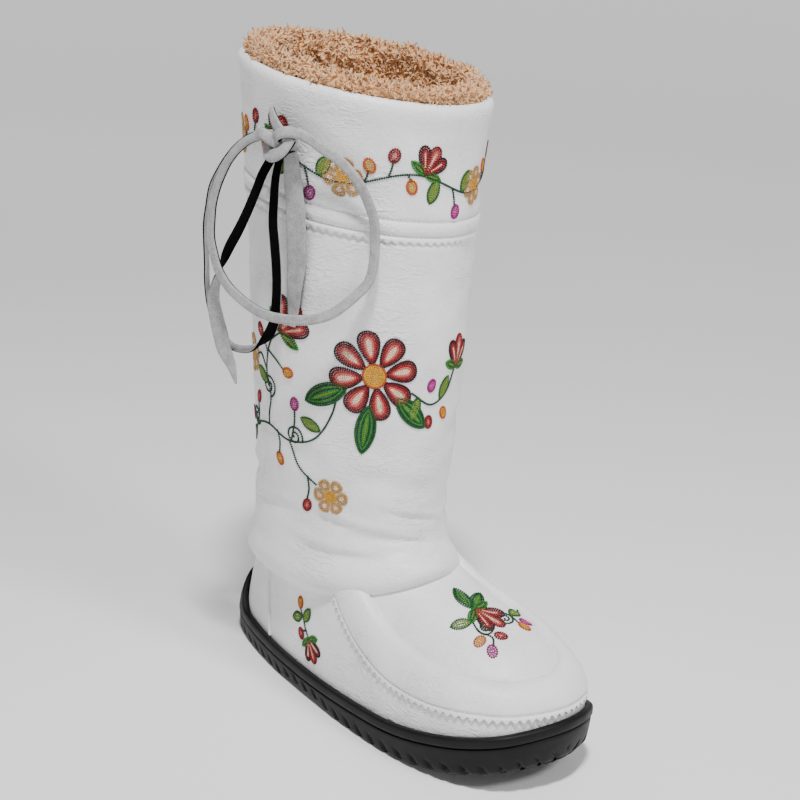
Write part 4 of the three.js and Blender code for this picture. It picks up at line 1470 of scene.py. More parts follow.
@dataclass
class Cuff:
    """The cuff: a pinked lower edge, a raised band between stitches, and a rolled rim."""

    last: Last
    leather: Material
    thread: Material
    suede: Material
    columns: int = 720
    pinking_pitch: float = 5.0 * MM
    pinking_depth: float = 2.1 * MM
    stitch_pitch: float = 2.6 * MM
    seams: tuple[float, float] = (5.0 * MM, 14.0 * MM)
    seam_stand: float = 1.75 * MM
    tooth_fade: float = 3.6 * MM
    middle: float = 0.88
    slots: tuple[float, float] = (62.0, 86.0)
    slot_height: float = 331 * MM
    slot_half: tuple[float, float] = (1.15, 3.2 * MM)

    def section(self) -> Array:
        """Returns the outside's corners: the level and how far out, from the pinked edge up."""
        height = self.last.sizes.height / MM
        levels = (self.last.sizes.cuff_from * height, self.middle * height, height)
        tables = (CUFF_HEM, CUFF_MIDDLE, CUFF_RIM)
        return np.vstack([np.array(table) + (level, 0) for table, level in zip(tables, levels)]) * MM

    def inside(self) -> Array:
        """Returns the corners of the inside, back down to the pinked edge."""
        sizes = self.last.sizes
        rim, wall = sizes.height, -(sizes.leather + sizes.clearance)
        return np.array([
            (rim - 6.0 * MM, wall), (rim + 0.3 * MM, wall), (rim + 0.3 * MM, 0.3 * MM),
            (self.middle * rim, 0.3 * MM), (sizes.cuff_from * rim, 0.4 * MM),
        ])

    def surface(self, around: Array, level: Array, out: Array) -> Array:
        """Works out places on the cuff, with the leather's soft unevenness.

        Args:
            around: places round the shaft, in degrees.
            level: heights along the shaft's middle.
            out: how far out from the shaft.

        Returns:
            The points.
        """
        wave = np.sin(np.radians(around) * 4 + level * 50) * np.sin(level * 75 + 0.6)
        fine = np.sin(np.radians(around) * 11 + level * 95) * np.sin(level * 170)
        sway = np.where(out > 0, (0.35 * wave + 0.15 * fine) * MM, 0)
        return self.last.band(around, level, out + sway)

    def build(self) -> None:
        """Makes the cuff and its stitches."""
        sizes = self.last.sizes
        outer = curve_through(self.section(), False, 3)
        rows = np.vstack([outer, self.inside()])
        around = all_round(self.columns)
        edge = sizes.cuff_from * sizes.height
        along = lengths_along(self.last.band(around, edge, 0.0))
        teeth = round(along[-1] / self.pinking_pitch)
        tooth = pinking(along, along[-1] / teeth, self.pinking_depth)
        level, out = rows[:, :1], rows[:, 1:]
        near = np.clip(1 - (level - edge) / self.tooth_fade, 0, 1)
        inner = np.arange(len(rows))[:, None] >= len(rows) - 1
        raised = level + tooth * np.where(inner, 1.0, near)
        mould = Mould()
        mould.add(self.surface(around, raised, out + np.zeros_like(raised)), closed=True)
        piece("cuff_leather", mould.mesh("cuff_leather"), [self.leather], ["cuff"])
        for seam, name in zip(self.seams, ("cuff_stitches_lower", "cuff_stitches_upper")):
            self.sew(name, edge + seam)
        self.build_slots()

    def sew(self, name: str, level: float) -> None:
        """Sews one row of stitches round the cuff.

        Args:
            name: the piece's name.
            level: how high the row is.
        """
        around = all_round(self.columns)
        line, inner = (
            self.surface(around, np.full_like(around, level), np.full_like(around, out))
            for out in (self.seam_stand, 0.4 * MM)
        )
        seam_stitches(name, line, unit(line - inner), self.stitch_pitch, self.thread, True)

    def build_slots(self) -> None:
        """Makes the two slots that the lace passes through, lined with tan edge paint."""
        mould = Mould()
        turn = np.radians(all_round(24))
        for around in self.slots:
            rows = []
            for size, out in ((1.0, 1.7), (0.95, 2.15), (0.6, 2.25), (0.25, 1.95), (0.0, 1.9)):
                degrees = around + np.cos(turn) * self.slot_half[0] * size
                heights = self.slot_height + np.sin(turn) * self.slot_half[1] * size
                rows.append(self.surface(degrees, heights, np.full_like(turn, out * MM)))
            mould.add(np.stack(rows), closed=True)
        piece("lace_slots", mould.mesh("lace_slots"), [self.suede])


@dataclass
class Wool:
    """The deep shearling that lines the shaft and stands over its rim."""

    last: Last
    fleece: Material
    depth: float = 8.0 * MM
    rise: float = 6.2 * MM
    columns: int = 260
    lock_length: float = 2.9 * MM
    lock_width: float = 1.25 * MM
    density: float = 360000.0
    lump_out: float = 3.8 * MM
    lump_up: float = 3.2 * MM
    root_tone: float = 0.15
    locks_from: float = 290 * MM
    locks_full: float = 335 * MM

    def section(self) -> Array:
        """Returns the wool's section: level, how far out, and how much it swells."""
        sizes = self.last.sizes
        top, low = sizes.height, sizes.wool_from * sizes.height
        wall = -(sizes.leather + sizes.clearance)
        hook = wall - sizes.cuff_stand
        crown = top + 2.4 * MM
        rows = [
            (low, wall, 0), (0.45 * top, wall, 0), (sizes.cuff_from * top, wall, 0), (0.95 * top, wall, 0),
            (top - 7 * MM, hook, 0), (top + 1.5 * MM, hook - 0.2 * MM, 0.1),
            (top + 3.4 * MM, -3.0 * MM, 0.3),
            (crown + 0.55 * self.rise, -2.8 * MM, 0.6), (crown + 0.95 * self.rise, -5.0 * MM, 0.9),
        ]
        for level, share, swell in (
            (crown + 0.9 * self.rise, 0.75, 1), (crown + 0.3 * self.rise, 1.15, 1), (top - 8 * MM, 1.3, 1),
            (top - 20 * MM, 1.25, 1), (0.88 * top, 1.15, 1), (sizes.cuff_from * top, 1.1, 1),
            (0.6 * top, 1, 1), (0.45 * top, 1, 1), (low, 0.7, 0.6),
        ):
            rows.append((level, -sizes.leather - share * self.depth, swell))
        return np.array(rows + [(low, wall, 0)])

    def build(self) -> None:
        """Makes the lumpy pile and the locks that stand on it."""
        rows = np.vstack([self.section()[:6], curve_through(self.section()[6:], False, 6)])
        around = all_round(self.columns)
        level, out, swell = rows[:, :1], rows[:, 1:2], rows[:, 2:]
        plain = self.last.band(around, level, out)
        lumps = np.array([
            [noise.noise(Vector(point) * 75) + 0.6 * noise.noise(Vector(point) * 190) for point in row]
            for row in plain
        ])
        grid = self.last.band(around, level, out - self.lump_out * swell * lumps)
        grid[..., 2] += self.lump_up * swell * lumps * (level > self.last.sizes.height)
        mould = Mould()
        mould.add(grid, closed=True)
        mesh = mould.mesh("shearling_pile", 180)
        tips = np.full(len(mesh.vertices), self.root_tone)
        mesh.attributes.new("tip", "FLOAT", "POINT").data.foreach_set("value", tips)
        piece("shearling_pile", mesh, [self.fleece], ["shearling_lining"])
        self.grow_locks(mesh)

    def grow_locks(self, pile: Mesh) -> None:
        """Grows locks where the pile shows: over the rim and down the inside.

        Args:
            pile: the pile's mesh.
        """
        mesh = pile.copy()
        mesh.materials.clear()
        mesh.attributes.remove(mesh.attributes["tip"])
        read = np.zeros((2, 3 * len(mesh.vertices)))
        mesh.vertices.foreach_get("co", read[0])
        mesh.vertices.foreach_get("normal", read[1])
        places, facing = read.reshape(2, -1, 3)
        middle = self.last.x(SHAFT.read("centre", 1.0))
        level = places[:, 2] - SHAFT.read("slope", 1.0) * (places[:, 0] - middle)
        away = unit(places[:, :2] - np.array([middle, 0.0]))
        outward = np.einsum("ij,ij->i", facing[:, :2], away)
        shown = (outward < 0.35) | (level > self.last.sizes.height + 1.5 * MM)
        here = (ease(self.locks_from, self.locks_full, level) * shown).astype(float)
        mesh.attributes.new("pile", "FLOAT", "POINT").data.foreach_set("value", here)
        thing = piece("shearling_locks", mesh, [self.fleece], ["shearling_lining"])
        locks(self.density, self.lock_length, self.lock_width, self.fleece, 7).grow(thing)
        LOG.info("shearling_locks grown: %d faces", len(thing.data.polygons))


# The lace

FRONT_LOOP = (
    (-31, -72, 339), (-23, -73, 341), (-17, -69, 338), (-12, -65, 334), (-6, -60, 330), (-1, -55, 324),
    (3, -50, 316), (5, -46, 308), (7, -43, 299), (8, -42, 289), (9, -43, 274), (8, -45, 265),
    (5, -50, 258), (2, -56, 252), (-2, -61, 247), (-9, -67, 243), (-18, -72, 241), (-27, -75, 240),
    (-37, -78, 240), (-46, -81, 242), (-55, -84, 246), (-64, -87, 252), (-71, -89, 260), (-75, -90, 269),
    (-77, -91, 278), (-77, -91, 288), (-76, -91, 297), (-74, -90, 306), (-70, -89, 315), (-65, -88, 323),
    (-59, -86, 330), (-52, -84, 335), (-45, -81, 338), (-40, -75, 339),
)
BACK_LOOP = (
    (-42, -71, 338), (-52, -74, 338), (-62, -75, 336), (-71, -78, 330), (-79, -80, 322), (-85, -82, 313),
    (-90, -83, 304), (-93, -83, 293), (-95, -83, 283), (-96, -82, 272), (-96, -81, 259), (-95, -81, 247),
    (-93, -80, 235), (-91, -77, 225), (-84, -76, 217), (-75, -75, 213), (-63, -73, 214), (-53, -72, 219),
    (-46, -71, 226), (-42, -70, 235), (-41, -70, 244), (-41, -70, 255), (-41, -71, 267), (-42, -72, 279),
    (-43, -73, 291), (-43, -73, 303), (-41, -74, 315), (-39, -73, 328),
)
FRONT_TAIL = (
    (-42, -73, 333), (-46, -74, 325), (-50, -76, 317), (-55, -77, 306), (-61, -78, 294), (-66, -80, 283),
    (-72, -82, 272), (-78, -83, 260), (-81, -84, 250), (-83, -84, 240), (-81, -83, 230), (-78, -82, 221),
    (-75, -81, 212), (-70, -79, 203), (-66, -78, 193),
)
BACK_TAIL = (
    (-33, -71, 332), (-33, -70, 327), (-33, -69, 319), (-32, -68, 309), (-31, -67, 299), (-31, -66, 289),
    (-31, -65, 277), (-32, -64, 266), (-33, -64, 254), (-34, -63, 244), (-35, -63, 233),
)


@dataclass
class Strand:
    """One strand of the lace: its places in millimetres, and a cord's length, diameter and far end.

    Its shape gives, along it, its width and thickness in millimetres and how far its face is
    turned, in degrees.
    """

    name: str
    points: Rows
    shape: Rows
    length: float = 0.0
    diameter: float = 0.0
    far_end: str = "bare"
    node: str = ""


@dataclass
class Lace:
    """The suede lace, tied in a bow: grey on its face and black on its back."""

    grey: Material
    black: Material
    sides: int = 18
    row_length: float = 1.4 * MM
    faces: Triple = (0.35, -0.9, 0.25)

    def strands(self) -> list[Strand]:
        """Returns the bow's strands."""
        return [
            Strand("bow_loop_front", FRONT_LOOP,
                   ((0, 5.2, 3.4, 0), (0.3, 5.6, 3.2, 5), (0.6, 5.8, 3.2, 10), (1, 5.0, 3.4, 0)),
                   0.305, 5.5 * MM, "knot", "lace_loop_front"),
            Strand("bow_loop_back", BACK_LOOP,
                   ((0, 4.6, 2.6, 70), (0.3, 4.4, 2.4, 100), (0.48, 4.6, 2.4, 75), (0.6, 5.2, 2.4, 35),
                    (0.68, 6.2, 2.2, 165), (0.85, 5.6, 2.2, 172), (1, 4.0, 2.4, 150)),
                   0.3, 5.0 * MM, "knot", "lace_loop_back"),
            Strand("bow_tail_front", FRONT_TAIL,
                   ((0, 5.5, 2.0, 180), (0.3, 6.2, 2.0, 180), (0.48, 6.0, 2.0, 180), (0.6, 5.4, 2.2, 60),
                    (0.72, 8.6, 2.0, 12), (0.84, 10.0, 1.8, 0), (0.93, 6.2, 1.6, 0), (1, 1.2, 1.4, 0)),
                   0.155, 6.5 * MM, "bare", "lace_tail_front"),
            Strand("bow_tail_back", BACK_TAIL,
                   ((0, 8.0, 2.6, 0), (0.2, 11.2, 2.2, 0), (0.6, 12.4, 2.0, 0), (0.85, 8.5, 2.0, 0),
                    (1, 5.0, 1.8, 0)),
                   0.1, 11 * MM, "bare", "lace_tail_back"),
        ]

    def knot_strands(self) -> list[Strand]:
        """Returns the short strands that cross in the knot."""
        return [
            Strand("wrap",
                   ((-46, -74, 338), (-43, -78, 331), (-36, -80.5, 328), (-29, -79, 331), (-26, -75, 338)),
                   ((0, 5, 4, 0), (0.5, 7.4, 4.4, 0), (1, 5, 4, 0))),
            Strand("over", ((-50, -82, 337), (-43, -82.5, 339), (-37, -81, 336.5), (-33.5, -77, 333)),
                   ((0, 5.2, 3.6, 0), (0.6, 6.2, 4.0, 0), (1, 4.6, 3.4, 0))),
            Strand("under", ((-37, -77, 334.5), (-33, -80, 339), (-27, -77.5, 341.5), (-21, -73, 340.5)),
                   ((0, 4.6, 3.6, 0), (0.5, 6.2, 4.0, 0), (1, 5.2, 3.4, 0))),
            Strand("head", ((-34, -74, 338), (-39, -75.5, 343), (-44, -75, 348), (-47, -74, 352)),
                   ((0, 6.5, 3.4, 0), (0.6, 5.4, 3.0, 10), (1, 3.2, 2.4, 20))),
            Strand("core", ((-44, -71.5, 334), (-36, -72, 335), (-28, -71.5, 336)),
                   ((0, 9, 7.5, 0), (0.5, 12.5, 9.5, 0), (1, 9, 7.5, 0))),
        ]

    def loft(self, mould: Mould, strand: Strand) -> Array:
        """Adds a strand to a mould.

        Args:
            mould: what the strand's skin goes into.
            strand: the strand.

        Returns:
            The strand's centreline.
        """
        line = curve_through(np.array(strand.points) * MM, False, 12)
        line = spaced(line, max(int(lengths_along(line)[-1] / self.row_length), 8))
        share = np.linspace(0, 1, len(line))
        shape = Table("along width thickness turn", strand.shape)
        width, thickness, turn = (shape.read(column, share) for column in ("width", "thickness", "turn"))
        ahead = unit(np.gradient(line, axis=0))
        over = unit(np.cross(ahead, np.array(self.faces)))
        face = np.cross(over, ahead)
        angle = np.radians(turn)[:, None]
        turned = over * np.cos(angle) + face * np.sin(angle)
        over, face = turned, face * np.cos(angle) - over * np.sin(angle)
        around = (np.arange(self.sides) + 0.5) * 2 * math.pi / self.sides
        wide = np.sign(np.cos(around)) * np.abs(np.cos(around)) ** 0.7
        thick = np.sign(np.sin(around)) * np.abs(np.sin(around)) ** 0.8
        thick = thick * (1 - 0.22 * np.exp(-((np.cos(around) / 0.2) ** 2)))
        grid = np.stack([
            line + over * (side * width * MM / 2)[:, None] + face * (up * thickness * MM / 2)[:, None]
            for side, up in zip(wide, thick)
        ])
        half = self.sides // 2
        first, second = grid[: half + 1], np.vstack([grid[half:], grid[:1]])
        mould.add(first[::-1], kind=0)
        mould.add(second[::-1], kind=1)
        for end in (0, -1):
            cap = np.stack([mix(grid[:, end], line[end], share) for share in (0, 0.6, 1.0)])
            mould.add(cap if end == -1 else cap[::-1], closed=True)
        return line

    def build(self) -> None:
        """Makes the knot, and each of the bow's strands as a piece of its own."""
        mould = Mould()
        for strand in self.knot_strands():
            self.loft(mould, strand)
        mesh = turned_out(mould.mesh("bow_knot", 75))
        knot = piece("bow_knot", mesh, [self.grey, self.black], ["lace_knot"])
        for number, strand in enumerate(self.strands()):
            mould = Mould()
            line = self.loft(mould, strand)
            mesh = turned_out(mould.mesh(strand.name, 75))
            thing = piece(strand.name, mesh, [self.grey, self.black], [strand.node])


# The beadwork


class Dye(Enum):
    """The beads' colours."""

    WINE = (0.025, 0.001, 0.003)
    RED = (0.16, 0.002, 0.005)
    ROSE = (0.34, 0.014, 0.018)
    SALMON = (0.58, 0.13, 0.1)
    CREAM = (0.8, 0.57, 0.41)
    GOLD = (0.62, 0.3, 0.01)
    TAN = (0.46, 0.26, 0.09)
    ORANGE = (0.48, 0.06, 0.004)
    MAGENTA = (0.24, 0.004, 0.12)
    PINK = (0.46, 0.05, 0.27)
    VINE = (0.003, 0.04, 0.018)
    GREEN = (0.005, 0.09, 0.01)
    FERN = (0.025, 0.21, 0.016)
    OLIVE = (0.16, 0.24, 0.03)


class Outline(Enum):
    """The outlines that rows of beads fill."""

    OVAL = "oval"
    LEAF = "leaf"
    PETAL = "petal"


Dyes = Sequence[Dye]
BERRIES = (
    (Dye.RED, Dye.ROSE, Dye.SALMON),
    (Dye.ORANGE, Dye.GOLD, Dye.GOLD),
    (Dye.MAGENTA, Dye.PINK, Dye.PINK),
)
LEAF_DYES = (Dye.GREEN, Dye.VINE, Dye.FERN, Dye.GREEN, Dye.OLIVE)
PALE_LEAF = (Dye.GREEN, Dye.OLIVE, Dye.OLIVE)
LONG_LEAF = (Dye.GREEN, Dye.VINE, Dye.FERN, Dye.VINE, Dye.FERN, Dye.OLIVE)
SEPAL = (Dye.FERN, Dye.GREEN, Dye.OLIVE)
PETAL_DYES = (Dye.WINE, Dye.RED, Dye.ROSE, Dye.SALMON, Dye.CREAM)
DAISY = ((Dye.TAN, Dye.TAN, Dye.CREAM), (Dye.GOLD, Dye.GOLD))


class Beadwork:
    """Draws motifs in rows of beads on a flat pattern, in millimetres."""

    pitch = 1.3

    def __init__(self) -> None:
        """Starts an empty pattern."""
        self.beads: list[tuple[float, float, float, float, Dye]] = []

    def row(self, points: Array, dye: Dye, closed: bool = False) -> None:
        """Lays beads along a line.

        Args:
            points: the line's points.
            dye: the beads' colour.
            closed: whether the line comes back to its start.
        """
        line = np.vstack([points, points[:1]]) if closed else points
        length = lengths_along(line)[-1]
        count = max(round(length / self.pitch), 1)
        line = spaced(line, count + 1)
        ahead = unit(np.gradient(line, axis=0))
        for place, way in list(zip(line, ahead))[: count if closed else None]:
            self.beads.append((*place, *way, dye))

    def vine(self, *places: Place) -> None:
        """Lays a row on a smooth curve through places."""
        self.row(curve_through(np.array(places), False, 12), Dye.VINE)

    def fill(self, outline: Outline, centre: Place, half: Place, turn: float, dyes: Dyes) -> None:
        """Fills an outline with rows of beads, one inside the other.

        Args:
            outline: its form.
            centre: its middle.
            half: half its length and half its width.
            turn: the direction of its length, in degrees.
            dyes: the rows' colours from outside in; the last goes on to the middle.
        """
        angle = np.linspace(0, 2 * math.pi, 60, endpoint=False)
        wide = np.sin(angle)
        if outline is Outline.LEAF:
            wide = wide * np.abs(wide) ** 0.55
        if outline is Outline.PETAL:
            wide = wide * (0.95 + 0.42 * np.cos(angle))
        along = np.array(reached((0, 0), turn, 1))
        over = np.array([-along[1], along[0]])
        row = 0
        while half[1] - row * self.pitch > 0.35 * self.pitch:
            size = np.array(half) - row * self.pitch
            line = np.outer(np.cos(angle) * size[0], along) + np.outer(wide * size[1], over)
            self.row(line + np.array(centre), dyes[min(row, len(dyes) - 1)], closed=True)
            row += 1
        spine = half[0] - half[1]
        if spine > 0.5 * self.pitch:
            ends = np.array([-1.0, 1.0])[:, None] * spine * 0.8 * along[None]
            self.row(ends + np.array(centre), dyes[-1])

    def berry(self, centre: Place, turn: float, kind: int, size: float = 1.0) -> None:
        """Puts an oval berry."""
        self.fill(Outline.OVAL, centre, (3.9 * size, 2.9 * size), turn, BERRIES[kind])

    def leaf(self, foot: Place, length: float, width: float, turn: float, dyes: Dyes = PALE_LEAF) -> None:
        """Puts a pointed leaf that starts at its foot."""
        self.fill(Outline.LEAF, reached(foot, turn, length / 2), (length / 2, width / 2), turn, dyes)

    def star(
        self, centre: Place, reach: float, heart: float, petals: int, dyes: tuple[Dyes, Dyes], turn: float
    ) -> None:
        """Puts a round flower of narrow petals about a heart.

        Args:
            centre: its middle.
            reach: how far out the petals go.
            heart: the heart's radius.
            petals: how many petals it has.
            dyes: the petals' colours and the heart's.
            turn: the first petal's direction, in degrees.
        """
        length = (reach - heart) / 2
        width = min(math.pi * (heart + length) / petals * 0.93, length)
        for k in range(petals):
            angle = turn + 360 * k / petals
            place = reached(centre, angle, heart + length + 0.3)
            self.fill(Outline.PETAL, place, (length, width), angle, dyes[0])
        self.fill(Outline.OVAL, centre, (heart, heart), 0, dyes[1])

    def daisy(self, centre: Place, size: float, heart: float, turn: float) -> None:
        """Puts a small tan flower of six petals."""
        self.star(centre, size, heart, 6, DAISY, turn)

    def bud(self, foot: Place, turn: float, size: float) -> None:
        """Puts a tulip bud: three petals over a pair of sepals.

        Args:
            foot: where it sits on its stem.
            turn: its direction, in degrees.
            size: how long its middle petal is.
        """
        petals = ((32, 0.92, PETAL_DYES), (-32, 0.92, PETAL_DYES), (0, 1.0, PETAL_DYES[1:]))
        for spread, share, dyes in petals:
            half = size * share / 2
            place = reached(foot, turn + spread, half)
            self.fill(Outline.PETAL, place, (half, half * 0.42), turn + spread, dyes)
        for spread in (78, -78):
            self.leaf(foot, size * 0.62, size * 0.26, turn + spread, SEPAL)

    def tendril(self, start: Place, turn: float, size: float, hand: int) -> None:
        """Puts a curl that winds in on itself.

        Args:
            start: where it leaves the vine.
            turn: the direction that it leaves in, in degrees.
            size: how wide its first round is.
            hand: 1 to wind to the left, -1 to the right.
        """
        angle = np.linspace(0, 3.4 * math.pi, 60)
        radius = size * (1 - angle / angle[-1]) ** 0.8 + 0.5
        out = angle - math.pi / 2
        curl = np.stack([np.cos(out) * radius, hand * np.sin(out) * radius], axis=-1)
        cos, sin = reached((0, 0), turn, 1)
        spin = np.array([[cos, sin], [-sin, cos]])
        self.row((curl - curl[0]) @ spin + np.array(start), Dye.VINE)


def shaft_pattern(work: Beadwork, shift: float, rise: float) -> None:
    """Draws one side's flowers on the shaft.

    Args:
        work: the beadwork, in millimetres round the shaft and up it.
        shift: how far round the side starts.
        rise: how far up it starts.
    """
    def at(u: float, v: float) -> Place:
        """Returns a place of this side."""
        return (u + shift, v + rise)

    flower = at(174, 218)
    for turn, length in ((208, 30), (262, 31), (318, 29)):
        work.leaf(reached(flower, turn, 19), length, 12.5, turn, LONG_LEAF)
    work.star(flower, 27, 7.2, 8, (PETAL_DYES, BERRIES[1]), 11)
    work.vine(at(62, 150), at(78, 165), at(97, 170), at(117, 166), at(136, 172), at(148, 190), at(152, 204))
    work.vine(at(97, 170), at(101, 186), at(97, 204), at(103, 222), at(112, 230))
    work.bud(at(113, 231), 52, 24)
    work.vine(at(117, 166), at(124, 152), at(137, 143))
    work.daisy(at(147, 137), 11, 3.6, 0)
    work.daisy(at(74, 207), 11, 3.6, 20)
    work.vine(at(97, 204), at(90, 211), at(84, 209))
    for u, v, turn, size, hand in ((101, 188, 20, 6.5, 1), (128, 168, 70, 6.0, 1), (84, 168, 250, 6.0, -1)):
        work.tendril(at(u, v), turn, size, hand)
    for u, v, turn, kind in ((84, 183, 60, 0), (108, 152, 290, 1), (122, 190, 80, 2), (66, 168, 110, 2),
                             (118, 208, 20, 1), (92, 226, 120, 0), (130, 128, 250, 0)):
        work.berry(at(u, v), turn, kind)
    for start, end in (((80, 167), (83, 179)), ((106, 169), (108, 156)), ((119, 166), (122, 186)),
                       ((101, 216), (114, 209)), ((99, 214), (94, 222)), ((131, 147), (130, 132))):
        middle = at((start[0] + end[0]) / 2 + 1.2, (start[1] + end[1]) / 2)
        work.vine(at(*start), middle, at(*end))
    for u, v, turn in ((70, 158, 200), (98, 196, 155), (140, 178, 160)):
        work.leaf(at(u, v), 14, 6.5, turn)
    work.vine(at(199, 208), at(214, 200), at(228, 206), at(236, 220))
    work.bud(at(237, 221), 82, 20)
    for u, v, turn, kind in ((213, 189, 280, 0), (227, 193, 300, 1), (214, 212, 70, 2)):
        work.berry(at(u, v), turn, kind)
    for u, v, turn in ((222, 203, 60), (204, 205, 250)):
        work.leaf(at(u, v), 15, 7, turn)


def cuff_pattern(work: Beadwork, start: float, length: float, middle: float) -> None:
    """Draws one length of the vine round the cuff.

    Args:
        work: the beadwork, in millimetres round the cuff and up it.
        start: where the length starts.
        length: how long it is.
        middle: how high its middle is.
    """
    sway = 5.5
    places = np.linspace(0, length, 25)
    wave = sway * np.sin(2 * math.pi * places / length)
    work.row(np.stack([start + places, middle + wave], axis=-1), Dye.VINE)
    for share, up, turn, kind in (
        (0.08, 11, 70, 0), (0.2, -4.5, 280, 1), (0.55, -13, 250, 2), (0.93, 8, 110, 1)
    ):
        u = start + share * length
        v = middle + sway * math.sin(2 * math.pi * share)
        tip = (u + 2.5, v + up * 0.8)
        work.vine((u, v), (u + 1.6, (v + tip[1]) / 2), tip)
        work.berry((tip[0] + 0.5, tip[1] + math.copysign(3.2, up)), turn, kind)
    work.bud((start + 0.32 * length, middle + 6), 62, 17)
    work.leaf((start + 0.42 * length, middle + 3), 14, 7, 250)
    work.leaf((start + 0.64 * length, middle - 4), 13, 6.5, 60)
    work.daisy((start + 0.8 * length, middle - 2), 10.5, 3.4, 15)


def vamp_pattern(work: Beadwork) -> None:
    """Draws the spray on the vamp, about its middle."""
    work.bud((-4, -2), 20, 19)
    work.leaf((-5, -3), 17, 9, 175, LEAF_DYES)
    work.leaf((-6, -1), 14, 7.5, 118, LEAF_DYES)
    work.vine((-4, -4), (2, -10), (10, -12), (17, -9), (21, -12))
    work.vine((2, 7), (9, 14), (16, 14))
    work.tendril((8, -12), -20, 4.6, 1)
    work.tendril((7, 13), 40, 4.4, -1)
    for u, v, turn, kind in (
        (23, -15, -30, 2), (14, -16, -90, 1), (20, 15, 10, 1), (16, 20.5, 60, 2), (19, -4, 45, 0)
    ):
        work.berry((u, v), turn, kind, 0.92)
    work.leaf((2, -11), 12, 6, 240)
    work.leaf((9, 15), 12, 6, 110)


def quarter_pattern(work: Beadwork) -> None:
    """Draws the sprig on a quarter, about its middle."""
    work.vine((-8, 9), (-4, 4), (0, -2), (4, -6))
    work.bud((4, -6), -55, 15)
    work.berry((-9, 13), 100, 1, 0.9)
    work.leaf((-3, 3), 11, 6, 62)
    work.leaf((-6, 5), 11, 6, 205)
    work.berry((-5, -6), 300, 0, 0.9)
    work.vine((0, -2), (-3, -3.5))


